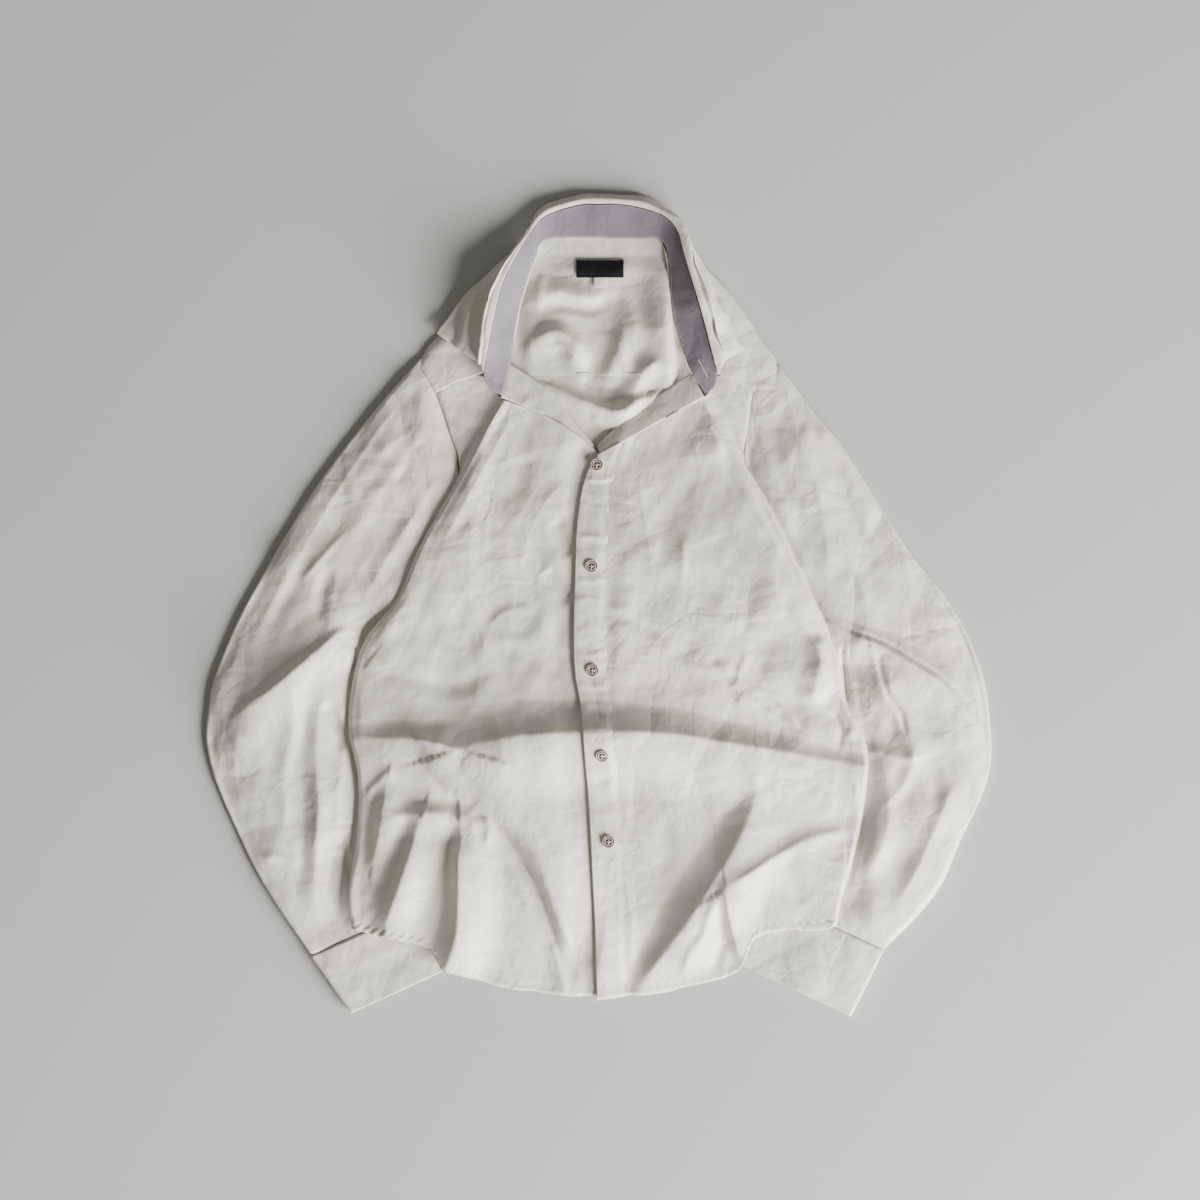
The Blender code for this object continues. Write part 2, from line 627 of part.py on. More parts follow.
def material(name, finish):
    """Make a material from a colour, a roughness and a metallic value."""
    colour, roughness, metallic = finish
    made = bpy.data.materials.new(name)
    made.use_nodes = True
    shader = made.node_tree.nodes["Principled BSDF"]
    shader.inputs["Base Color"].default_value = (*colour, 1.0)
    shader.inputs["Roughness"].default_value = roughness
    shader.inputs["Metallic"].default_value = metallic
    return made


def sheet(name, grid, wall, finish, flip=False, closed=False):
    """Turn a grid of points into a cloth wall, thickened away from its outer face."""
    mesh = bpy.data.meshes.new(name)
    bm = bmesh.new()
    shift = Vector((*MIDDLE, 0.0))
    rows = [[bm.verts.new((Vector(point) - shift) * MM) for point in row] for row in np.asarray(grid)]
    columns = len(rows[0])
    last = columns if closed else columns - 1
    for upper, lower in zip(rows[:-1], rows[1:]):
        for index in range(last):
            after = (index + 1) % columns
            corners = [upper[index], lower[index], lower[after], upper[after]]
            bm.faces.new(corners[::-1] if flip else corners)
    bm.to_mesh(mesh)
    bm.free()
    mesh.shade_smooth()
    made = bpy.data.objects.new(name, mesh)
    bpy.context.collection.objects.link(made)
    thick = made.modifiers.new("Wall", "SOLIDIFY")
    thick.thickness = wall * MM
    thick.offset = -1.0
    thick.use_even_offset = False
    mesh.materials.append(material(name + "_material", finish))
    return made


def button(name, place, height, normal):
    """Make a round button with a raised rim and four holes, its back at the given height."""
    bm = bmesh.new()
    profile = (
        (0.0, 0.0), (BUTTON_RADIUS - 0.6, 0.0), (BUTTON_RADIUS, 0.7), (BUTTON_RADIUS, BUTTON_THICK - 0.5),
        (BUTTON_RADIUS - 0.5, BUTTON_THICK), (BUTTON_RADIUS - BUTTON_RIM, BUTTON_THICK - 0.1),
        (BUTTON_RADIUS - BUTTON_RIM - 0.5, BUTTON_THICK - 0.8), (0.0, BUTTON_THICK - 0.8),
    )
    points = [bm.verts.new((radius * MM, 0.0, z * MM)) for radius, z in profile]
    edges = [bm.edges.new(pair) for pair in zip(points[:-1], points[1:])]
    bmesh.ops.spin(bm, geom=points + edges, cent=(0, 0, 0), axis=(0, 0, 1), angle=2 * math.pi,
                   steps=BUTTON_SEGMENTS, use_merge=True)
    bmesh.ops.remove_doubles(bm, verts=bm.verts, dist=1e-6)
    bmesh.ops.recalc_face_normals(bm, faces=bm.faces)
    mesh = bpy.data.meshes.new(name)
    bm.to_mesh(mesh)
    bm.free()
    made = bpy.data.objects.new(name, mesh)
    bpy.context.collection.objects.link(made)
    made.location = Vector((place[0] - MIDDLE[0], place[1] - MIDDLE[1], height)) * MM
    made.rotation_mode = "QUATERNION"
    made.rotation_quaternion = Vector((0, 0, 1)).rotation_difference(Vector(normal))
    mesh.materials.append(material(name + "_material", BUTTON_PEARL))
    cut = made.modifiers.new("Holes", "BOOLEAN")
    cut.operation = "DIFFERENCE"
    cut.object = hole_cutter(name, made)
    return made


def hole_cutter(name, owner):
    """Make the four pins that cut a button's holes."""
    bm = bmesh.new()
    for step_x in (-1, 1):
        for step_y in (-1, 1):
            pin = bmesh.ops.create_cone(bm, cap_ends=True, segments=HOLE_SEGMENTS,
                                        radius1=BUTTON_HOLE_RADIUS * MM, radius2=BUTTON_HOLE_RADIUS * MM,
                                        depth=PIN_LENGTH * MM)
            shift = Vector((step_x * BUTTON_HOLE_PITCH, step_y * BUTTON_HOLE_PITCH, 1.0)) * MM
            bmesh.ops.translate(bm, verts=pin["verts"], vec=shift)
    mesh = bpy.data.meshes.new(name + "_pins")
    bm.to_mesh(mesh)
    bm.free()
    cutter = bpy.data.objects.new(name + "_pins", mesh)
    bpy.context.collection.objects.link(cutter)
    cutter.parent = owner
    cutter.hide_render = True
    cutter.display_type = "WIRE"
    return cutter


def surface_under(place, radius, rise):
    """Find the tilt and the height at which a disc clears the placket below it."""
    x, y = place
    span = 4.0
    slope_x = float(body_height(x + span, y) - body_height(x - span, y)) / (2 * span)
    slope_y = float(body_height(x, y + span) - body_height(x, y - span)) / (2 * span)
    normal = Vector((-slope_x, -slope_y, 1.0)).normalized()
    worst = 0.0
    for ring in (0.5, 1.0):
        for turn in range(12):
            angle = turn * math.pi / 6
            dx, dy = radius * ring * math.cos(angle), radius * ring * math.sin(angle)
            plane = float(body_height(x, y)) + slope_x * dx + slope_y * dy
            worst = max(worst, float(body_height(x + dx, y + dy)) - plane)
    return normal, float(body_height(x, y)) + worst + rise


def clear_scene():
    """Remove every object of the open scene."""
    for old in list(bpy.data.objects):
        bpy.data.objects.remove(old, do_unlink=True)


def build_body():
    """Make the back, the yoke, both fronts and the placket."""
    sheet("back", back_grid(), WALL, COTTON, flip=True)
    right = yoke_grid(RIGHT_YOKE)[::-1]
    left = yoke_grid(LEFT_YOKE)[1:]
    sheet("yoke", np.array(right + left), WALL, COTTON, flip=True)
    left_front = front_grid(LEFT_FRONT, LEFT_HEM_RISE, 0.0)
    sheet("front_left", left_front, WALL, COTTON)
    right_front = front_grid(RIGHT_FRONT, RIGHT_HEM_RISE, LAP_STEP)
    sheet("front_right", right_front, WALL, COTTON, flip=True)
    strip = left_front[:, 0:PLACKET_COLUMNS, :] + np.array([0.0, 0.0, PLACKET_LIFT + PLACKET_WALL])
    sheet("placket", strip, PLACKET_WALL, COTTON)
    left_turn = turn_grid(LEFT_TURN_LINE, LEFT_TURN_INNER, 0.0, NECK_TURN_LEFT_Z)
    sheet("neck_turn_left", left_turn, WALL, COTTON, flip=True)
    right_turn = turn_grid(RIGHT_TURN_LINE, RIGHT_TURN_INNER, NECK_TURN_RIGHT_DROP, NECK_TURN_RIGHT_Z)
    sheet("neck_turn_right", right_turn, WALL, COTTON)


def build_sleeves():
    """Make both sleeves and both cuffs."""
    for side, table, armhole, folds, cuff, flip in (
        ("left", LEFT_SLEEVE, LEFT_ARMHOLE, LEFT_SLEEVE_FOLDS, LEFT_CUFF, True),
        ("right", RIGHT_SLEEVE, RIGHT_ARMHOLE, RIGHT_SLEEVE_FOLDS, RIGHT_CUFF, False),
    ):
        sheet("sleeve_" + side, sleeve_grid(table, armhole, folds), WALL, COTTON, flip=flip, closed=True)
        sheet("cuff_" + side, cuff_grid(cuff), CUFF_WALL, COTTON, flip=flip, closed=True)


def build_collar():
    """Make the collar stand, the leaf, the label and the size tag."""
    columns = [row.seam + row.top + row.roll + row.edge + (row.seam_z, row.top_z, row.edge_z)
               for row in COLLAR]
    rows = evenly(columns, 2 * len(COLLAR) - 1)
    sheet("collar_stand", stand_grid(rows), STAND_WALL, LAVENDER)
    leaf_rows = rows[2 * LEAF_FIRST:2 * LEAF_LAST + 1]
    sheet("collar_leaf", leaf_grid(leaf_rows), WALL, COTTON)
    sheet("neck_label", patch_grid(LABEL_BOX, SEAM_GAP + LABEL_WALL + LABEL_LIFT, 7), LABEL_WALL, LABEL_BLACK)
    sheet("size_tag", patch_grid(TAG_BOX, SEAM_GAP + LABEL_WALL + TAG_LIFT, 4), LABEL_WALL, TAG_WHITE)


def build_buttons():
    """Make the five front buttons, the collar button and a button on each cuff."""
    for number, place in enumerate(BUTTON_PLACES, start=1):
        normal, height = surface_under(place, BUTTON_RADIUS, PLACKET_LIFT + PLACKET_WALL + SEAM_GAP)
        button(f"button_{number}", place, height, normal)
    flat = Vector((0, 0, 1))
    button("button_collar", COLLAR_BUTTON_PLACE, COLLAR_BUTTON_Z, flat)
    button("button_cuff_left", LEFT_CUFF_BUTTON, CUFF_BUTTON_Z, flat)
    button("button_cuff_right", RIGHT_CUFF_BUTTON, CUFF_BUTTON_Z, flat)


def main():
    """Build the whole shirt."""
    clear_scene()
    build_body()
    build_sleeves()
    build_collar()
    build_buttons()


main()
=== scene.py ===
"""Crumpled button-up shirt, laid out on its back with the collar spread open.

Every cloth piece is a thin shell on the form of its solid, with the creases of the
photograph placed one by one. Tables are in millimetres, in the solids' own frame before
the shift MIDDLE. Left and right are the wearer's, so the left front lies at +X.
"""

from __future__ import annotations

import logging
import math
from dataclasses import dataclass
from enum import Enum
from typing import NamedTuple

import bmesh
import bpy
import numpy as np
from mathutils import Matrix, Vector


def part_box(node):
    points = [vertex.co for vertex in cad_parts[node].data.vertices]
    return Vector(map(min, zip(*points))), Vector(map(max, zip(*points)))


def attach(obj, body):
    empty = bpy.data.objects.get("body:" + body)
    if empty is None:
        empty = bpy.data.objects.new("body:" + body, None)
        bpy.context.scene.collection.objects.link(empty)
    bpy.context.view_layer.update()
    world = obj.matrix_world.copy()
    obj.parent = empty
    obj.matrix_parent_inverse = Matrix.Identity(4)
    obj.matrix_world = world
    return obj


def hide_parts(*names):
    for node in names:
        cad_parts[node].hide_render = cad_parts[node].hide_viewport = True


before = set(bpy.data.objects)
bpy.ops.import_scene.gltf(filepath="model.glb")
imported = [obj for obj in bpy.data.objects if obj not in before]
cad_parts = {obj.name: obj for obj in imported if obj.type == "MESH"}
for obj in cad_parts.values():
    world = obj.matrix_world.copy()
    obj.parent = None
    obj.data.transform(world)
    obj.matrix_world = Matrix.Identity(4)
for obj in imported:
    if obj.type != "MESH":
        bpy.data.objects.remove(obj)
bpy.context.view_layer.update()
LOG = logging.getLogger("shirt")

MM = 0.001
MIDDLE = (-0.92, -0.39)
BODY = "root"
SEAM_MERGE = 1e-7
DISC_MERGE = 1e-6
LEAST_LENGTH = 1e-9
Place = tuple[float, float]
Colour = tuple[float, float, float, float]


class Shape(Enum):
    """How a crease is shaped across its path."""

    SOFT = "soft"
    SHARP = "sharp"
    ROUND = "round"
    EDGE = "edge"


class Border(Enum):
    """One border of a cloth grid."""

    FIRST_ROW = "first row"
    LAST_ROW = "last row"
    FIRST_COLUMN = "first column"
    LAST_COLUMN = "last column"


class Slot(Enum):
    """The record's material slots."""

    COTTON = "cotton"
    COLLAR_INNER = "collar_inner"
    LABEL = "label"
    TAG = "tag"
    BUTTON = "button"


class FrontRow(NamedTuple):
    """One section across a front: placket edge, side fold, the cloth tucked under, seam."""

    edge: Place
    fold: Place
    tuck: Place
    seam: Place
    seam_z: float
    bow: float


class SleeveRow(NamedTuple):
    """One section across a flattened sleeve or cuff, with its puff and the puff's reach."""

    outer: Place
    inner: Place
    puff: float
    reach: float = 0.84


class YokeRow(NamedTuple):
    """One section of the yoke: back seam, shoulder fold, neck or front seam."""

    back: Place
    fold: Place
    neck: Place
    fold_z: float
    neck_z: float


class CollarRow(NamedTuple):
    """One section of the collar: neck seam, top edge, roll and free edge of the leaf."""

    seam: Place
    top: Place
    roll: Place
    edge: Place
    seam_z: float
    top_z: float
    edge_z: float


class Crease(NamedTuple):
    """One crease: its path, height, widths left and right of the path, and shape.

    A height or width is one number, or one for each of several places along the path.
    """

    path: tuple[Place, ...]
    height: float | tuple[float, ...]
    left: float | tuple[float, ...]
    right: float | tuple[float, ...]
    shape: Shape = Shape.SOFT


LEFT_FRONT = (
    FrontRow((-2, 142), (100, 198), (115, 218), (148.3, 201.5), 6.2, 0),
    FrontRow((-11, 128), (108, 180), (124, 194), (143.2, 187), 6.4, 0),
    FrontRow((-17, 109), (121, 159), (131, 167), (139.6, 164), 6.2, 0),
    FrontRow((-21, 85), (134, 138), (137, 140), (136, 138), 5.0, 0),
    FrontRow((-23, 57), (161, 93), (149, 89), (142, 84), 0.0, 0),
    FrontRow((-24, 19), (191, 30), (178, 27), (168, 24), 0.0, 0),
    FrontRow((-25, -19), (211, -11), (197, -15), (186, -16), 0.0, 0),
    FrontRow((-24, -62), (224, -45), (208, -50), (196, -51), 0.0, 0),
    FrontRow((-18, -100), (234, -95), (216, -97), (204, -96), 0.0, 0),
    FrontRow((-15, -138), (253, -136), (232, -135), (216, -134), 0.0, 0),
    FrontRow((-11, -186), (250, -190), (230, -184), (216, -178), 0.0, 0),
    FrontRow((-8, -243), (239, -243), (216, -226), (202, -214), 0.0, -4),
    FrontRow((-5, -304), (229, -278), (206, -254), (188, -240), 5.0, -10),
    FrontRow((-3, -374), (224, -304), (198, -278), (176, -264), 11.0, -16),
)

RIGHT_FRONT = (
    FrontRow((11, 132), (-93, 195), (-116, 218), (-157.4, 201.5), 6.2, 10),
    FrontRow((8, 118), (-103, 178), (-126, 194), (-150.6, 186), 6.4, 5),
    FrontRow((4, 99), (-115, 156), (-134, 165), (-142.4, 163), 6.2, 0),
    FrontRow((2, 76), (-126, 135), (-134, 139), (-134, 137), 5.0, 0),
    FrontRow((1, 52), (-146, 99), (-134, 98), (-126, 96), 0.0, 0),
    FrontRow((0, 19), (-171, 55), (-160, 52), (-150, 50), 0.0, 0),
    FrontRow((0, -19), (-192, 7), (-179, 4), (-168, 2), 0.0, 0),
    FrontRow((0, -57), (-222, -33), (-208, -38), (-196, -42), 0.0, 0),
    FrontRow((4, -100), (-234, -72), (-216, -75), (-204, -77), 0.0, 0),
    FrontRow((8, -138), (-238, -117), (-219, -117), (-205, -117), 0.0, 0),
    FrontRow((11, -186), (-229, -165), (-209, -163), (-196, -162), 0.0, 0),
    FrontRow((16, -243), (-230, -222), (-209, -212), (-196, -204), 0.0, -4),
    FrontRow((18, -304), (-238, -271), (-211, -254), (-192, -240), 5.0, -11),
    FrontRow((20, -372), (-235, -307), (-206, -282), (-184, -268), 11.0, -19),
)

LEFT_ARMHOLE = ((173, 224), (161, 214), (149, 202), (142, 180), (137, 139))
RIGHT_ARMHOLE = ((-174, 230), (-166, 216), (-159, 202), (-149, 180), (-135, 138))

LEFT_SLEEVE = (
    SleeveRow((173, 224), (137, 138), 2),
    SleeveRow((201, 186), (145, 111), 6, 1.2),
    SleeveRow((230, 151), (153, 83), 9, 1.2),
    SleeveRow((255, 111), (167, 53), 10, 1.2),
    SleeveRow((278, 74), (182, 21), 10, 1.2),
    SleeveRow((302, 40), (194, -3), 9, 1.2),
    SleeveRow((325, 12), (204, -24), 9, 1.2),
    SleeveRow((344, -19), (212, -43), 9, 1.2),
    SleeveRow((357, -48), (218, -64), 9),
    SleeveRow((366, -76), (222, -86), 9),
    SleeveRow((370, -106), (226, -108), 9),
    SleeveRow((372, -137), (236, -133), 9),
    SleeveRow((369, -162), (239, -159), 9),
    SleeveRow((359, -190), (238, -186), 9),
    SleeveRow((343, -223), (231, -211), 8),
    SleeveRow((326, -263), (216, -237), 6, 0.7),
    SleeveRow((303, -294), (186.5, -256), 4, 0.5),
    SleeveRow((269, -328), (149, -271.6), 1.5, 0.4),
)

RIGHT_SLEEVE = (
    SleeveRow((-174, 230), (-135, 138), 2),
    SleeveRow((-200, 201), (-133, 118), 6, 1.2),
    SleeveRow((-229, 166), (-133, 101), 9, 1.2),
    SleeveRow((-256, 131), (-149, 76), 10, 1.2),
    SleeveRow((-280, 96), (-163, 54), 9, 1.2),
    SleeveRow((-303, 58), (-174, 26), 9, 1.2),
    SleeveRow((-324, 22), (-184, 2), 9, 1.2),
    SleeveRow((-341, -9), (-198, -24), 9),
    SleeveRow((-355, -40), (-211, -48), 10, 0.93),
    SleeveRow((-367, -72), (-219, -70), 10, 0.93),
    SleeveRow((-372, -100), (-223, -91), 10, 0.93),
    SleeveRow((-374, -129), (-225, -112), 10, 0.93),
    SleeveRow((-368, -159), (-223, -136), 10, 0.93),
    SleeveRow((-357, -188), (-217, -163), 10, 0.93),
    SleeveRow((-343, -219), (-214, -190), 9, 0.92),
    SleeveRow((-328, -250), (-214, -222), 6, 0.7),
    SleeveRow((-307, -285), (-206, -256), 4, 0.5),
    SleeveRow((-274, -333), (-182, -293), 1.5, 0.4),
)

LEFT_CUFF = (SleeveRow((268.6, -329), (148.3, -272.5), 1.5, 0.4),
             SleeveRow((238, -390.5), (116.9, -334.1), 2.5, 0.8))
RIGHT_CUFF = (SleeveRow((-273.6, -334), (-181.4, -294), 1.5, 0.4),
              SleeveRow((-236, -387.5), (-138, -343), 2.5, 0.8))

LEFT_YOKE = (
    YokeRow((0, 221), (0, 300), (0, 349.5), 0.0, 2.0),
    YokeRow((26, 221), (30, 305), (32, 349.5), 0.0, 2.0),
    YokeRow((50, 221), (56, 318), (55, 346), 0.4, 2.8),
    YokeRow((76, 221), (88, 326), (66, 327), 3.0, 6.8),
    YokeRow((98, 221), (113, 306), (68, 288), 3.2, 7.2),
    YokeRow((119, 221), (134, 280), (76, 249), 3.2, 7.6),
    YokeRow((138, 220), (151, 253), (108, 224), 3.2, 7.4),
    YokeRow((150, 217), (163, 238), (130, 214), 3.0, 7.0),
    YokeRow((158.5, 213.4), (171.4, 224), (148.2, 203.6), 2.6, 6.2),
)

RIGHT_YOKE = (
    YokeRow((0, 221), (0, 300), (0, 349.5), 0.0, 2.0),
    YokeRow((-26, 221), (-30, 305), (-32, 349.5), 0.0, 2.0),
    YokeRow((-50, 221), (-54, 318), (-54, 346), 0.4, 2.5),
    YokeRow((-76, 221), (-84, 322), (-64, 327), 3.0, 6.5),
    YokeRow((-98, 221), (-106, 300), (-77, 288), 3.2, 7.2),
    YokeRow((-119, 221), (-126, 275), (-86, 249), 3.2, 7.6),
    YokeRow((-138, 220), (-152, 255), (-110, 224), 3.2, 7.4),
    YokeRow((-152, 217), (-163.5, 243.5), (-137, 214), 3.0, 7.0),
    YokeRow((-162.5, 213.4), (-171.8, 228.5), (-157.2, 204), 2.6, 6.2),
)

COLLAR = (
    CollarRow((-93, 198), (-101, 201), (-112, 216), (-152, 246), 18.6, 19.6, 9.8),
    CollarRow((-91, 203), (-107, 208), (-114, 220), (-154, 250), 18.2, 21.0, 9.8),
    CollarRow((-89, 210), (-110, 220), (-116, 228), (-155, 257), 16.4, 23.0, 9.6),
    CollarRow((-83, 241), (-106, 242), (-114, 250), (-144, 273), 11.6, 26.0, 9.4),
    CollarRow((-78, 278), (-99, 277), (-109, 281), (-130, 291), 9.0, 26.5, 9.2),
    CollarRow((-71, 302), (-92, 304), (-102, 307), (-114, 309), 8.6, 23.0, 9.0),
    CollarRow((-63, 327), (-79, 330), (-87, 335), (-95, 330), 8.4, 18.0, 6.5),
    CollarRow((-57, 341), (-65, 354), (-71, 358), (-75, 353), 6.4, 12.0, 3.2),
    CollarRow((-47, 347), (-51, 369), (-56, 376), (-57, 363), 5.4, 8.6, 2.0),
    CollarRow((-19, 348), (-21, 379), (-22, 387), (-22, 363), 5.2, 7.4, 1.4),
    CollarRow((0, 348), (0, 380), (0, 389), (0, 363), 5.2, 7.2, 1.4),
    CollarRow((13, 347), (17, 380), (19, 388), (19, 363), 5.2, 7.4, 1.4),
    CollarRow((39, 347), (40, 376), (45, 385), (43, 361), 5.4, 8.4, 2.0),
    CollarRow((55, 347), (61, 368), (69, 372), (72, 355), 6.4, 11.0, 3.2),
    CollarRow((63, 337), (73, 354), (82, 355), (86, 340), 8.4, 15.0, 6.5),
    CollarRow((66, 318), (80, 329), (89, 331), (96, 325), 8.6, 20.0, 9.0),
    CollarRow((67, 285), (92, 289), (102, 292), (112, 288), 9.0, 24.0, 9.2),
    CollarRow((72, 265), (98, 268), (108, 271), (124, 267), 9.4, 23.0, 9.4),
    CollarRow((80, 237), (106, 237), (116, 246), (134, 247), 12.0, 22.0, 9.6),
    CollarRow((87, 219), (111, 217), (118, 231), (136, 241), 15.6, 20.0, 9.8),
    CollarRow((94, 208), (109, 207), (117, 228), (135, 238), 17.0, 19.0, 9.8),
    CollarRow((99, 200), (104, 202), (116, 226), (134, 236), 17.6, 18.4, 9.8),
)

LEFT_TURN_LINE = ((99, 196.2), (64, 177.4), (29, 158.2), (0, 142.6))
LEFT_TURN_INNER = ((86, 220), (58, 200), (27, 179), (-3, 151))
RIGHT_TURN_LINE = ((-94, 196), (-66, 185.2), (-38, 172.0), (-4, 144))
RIGHT_TURN_INNER = ((-89, 231), (-63, 214), (-44, 197), (-6, 152))

BACK_ARMHOLE_LEFT = ((156, 212), (145.5, 200), (139, 178), (134, 137))
BACK_ARMHOLE_RIGHT = ((-160, 212), (-154, 200), (-145.5, 178), (-130.5, 136))
BACK_HEM_LEFT = ((152, -284), (122, -324))
BACK_HEM_RIGHT = ((-160, -288), (-126, -328))
BACK_HEM_DIP = 30.0
SIDE_INSET = 2.6

SOFT, SHARP, ROUND, EDGE = Shape.SOFT, Shape.SHARP, Shape.ROUND, Shape.EDGE

BODY_FORMS = (
    Crease(((-230, -126), (-200, -126), (-173, -127), (-150, -132), (-128, -138)),
           (3, 9, 12, 13, 7), (12, 15, 17, 22, 30), 56, EDGE),
    Crease(((-136, -138), (-112, -131), (-75, -124), (-28, -121), (28, -120), (76, -123), (124, -131),
            (171, -139), (212, -147), (249, -153)),
           (6, 17, 20, 20, 20, 18, 15, 11, 8, 6), (38, 36, 32, 29, 27, 24, 21, 17, 14, 12), 66, EDGE),
    Crease(((-157, -143), (-134, -166), (-106, -180), (-79, -202), (-60, -229), (-48, -252), (-36, -284),
            (-28, -315), (-24, -338)),
           (2, 9, 13, 14, 14, 14, 12, 8, 1), 60, (14, 16, 18, 18, 18, 17, 16, 15, 12), ROUND),
    Crease(((147, -146), (147, -166), (145, -190), (127, -229), (104, -268), (78, -307), (49, -346),
            (33, -372)),
           (1, 5, 11, 15, 16, 15, 11, 6), 58, (14, 17, 22, 28, 30, 27, 19, 12), EDGE),
    Crease(((-201, -168), (-206, -196), (-210, -222), (-215, -246)),
           (2, 9, 9, 3), 28, (10, 13, 13, 10), EDGE),
    Crease(((-170, -204), (-176, -224), (-183, -246), (-192, -272), (-203, -306)),
           (4, 12, 14, 14, 6), 36, (12, 17, 20, 22, 18), EDGE),
    Crease(((-132, -208), (-131, -221), (-134, -238), (-134, -284), (-136, -315), (-145, -346)),
           (3, 11, 15, 15, 15, 11), 46, (9, 12, 14, 16, 22, 27), EDGE),
    Crease(((-208, -206), (-178, -197), (-150, -197), (-124, -200)),
           (0, 7, 8, 4), (10, 11, 12, 10), 30, EDGE),
    Crease(((248, -212), (201, -218), (166, -237), (143, -252), (118, -268)),
           (1, 3, 4, 4.5, 4), 44, 13, EDGE),
    Crease(((118, -266), (121, -291), (127, -315), (131, -328), (138, -338)), (2, 7, 9, 8, 3), 36, 9, EDGE),
    Crease(((8, -286), (4, -320), (-1, -350), (-3, -378)), (0, 5, 8, 8), 44, (14, 22, 27, 28), EDGE),
    Crease(((-84, 190), (-112, 120), (-140, 60), (-170, 10), (-200, -30)), (1, 2, 3, 5, 4), 50, 34),
    Crease(((96, 192), (120, 140), (150, 84), (180, 30), (206, -16)), 5.0, 24, 60),
)

LEFT_SLEEVE_FORMS = (
    Crease(((112, 183), (126, 161), (139, 140), (166, 95), (196, 32), (215, -8), (224, -30)),
           (1, 2.5, 3, 3, 3, 2.5, 1), 60, 5, EDGE),
    Crease(((218, -18), (237, -28), (266, -39), (291, -53), (329, -78), (361, -116), (370, -141)),
           (4, 7, 8, 8, 8, 7, 4), (10, 14, 16, 16, 14, 12, 8), 56, EDGE),
    Crease(((279, 55), (310, 17), (342, -27), (358, -72), (368, -130)), 2.5, 8, 30, EDGE),
    Crease(((340, -170), (318, -224), (292, -276)), 2.0, 30, 20),
    Crease(((240, -92), (259, -134), (256, -190), (245, -243), (236, -276)), (1, 4, 5, 5, 2), 34, 5, EDGE),
    Crease(((257, -46), (266, -84), (287, -116), (294, -142)), (2, 5, 5, 2), 26, 10, EDGE),
    Crease(((248, -120), (262, -170), (262, -220), (244, -262)), 4.0, 30, 18, EDGE),
)
RIGHT_SLEEVE_FORMS = (
    Crease(((-368, -130), (-344, -104), (-303, -74), (-262, -39), (-241, -25), (-224, -30)),
           (3, 5, 7, 7, 6, 2), (8, 9, 10, 10, 8, 6), 40, EDGE),
    Crease(((-366, -126), (-342, -100), (-300, -69), (-260, -35), (-240, -22), (-222, -27)),
           (3, 4, 5, 5, 4, 1), (26, 32, 36, 36, 28, 18), 60, EDGE),
    Crease(((-108, 178), (-122, 150), (-134, 128), (-152, 94), (-177, 50), (-198, 4), (-222, -26)),
           (0, 1, 2, 2.5, 2.5, 2, 1), 6, 46, EDGE),
    Crease(((-259, -74), (-266, -109), (-268, -156), (-266, -198), (-269, -239), (-272, -290)),
           (2, 7, 8, 8, 8, 6), 32, 15, EDGE),
    Crease(((-322, -90), (-330, -150), (-318, -220), (-296, -282)), 3.0, 34, 24),
    Crease(((-230, -38), (-240, -72), (-244, -117), (-236, -165), (-237, -222), (-244, -270)),
           (1, 4, 5, 5, 5, 3), 5, 26, EDGE),
    Crease(((-176, 200), (-222, 120), (-262, 40), (-300, -30)), 3.5, 30, 26),
)
NECK_FORMS = (
    Crease(((-64, 250), (-50, 258), (-38, 259), (-26, 251), (-18, 238), (-16, 220)), (3, 9, 12, 12, 9, 3),
           (9, 11, 12, 12, 11, 9), 24, EDGE),
    Crease(((-62, 286), (-40, 295), (-14, 290), (8, 294)), (2, 7, 7, 1), 22, 10, EDGE),
    Crease(((56, 330), (63, 300), (65, 262), (72, 230)), (1, 7, 13, 9), 8, 46),
    Crease(((-44, 206), (-14, 192), (16, 184), (42, 196)), (3, 9, 10, 6), (8, 11, 11, 8), 22, EDGE),
    Crease(((62, 236), (44, 222), (34, 204), (28, 186)), (1, 7, 7, 3), 14, 20, EDGE),
    Crease(((12, 286), (22, 262), (14, 232), (6, 214)), (1, 6, 6, 2), 26, 13, EDGE),
)

LEFT_HEM_RISE = (27.0, 130, 147, 150, 228)
RIGHT_HEM_RISE = (14.0, 146, 164, 170, 235)

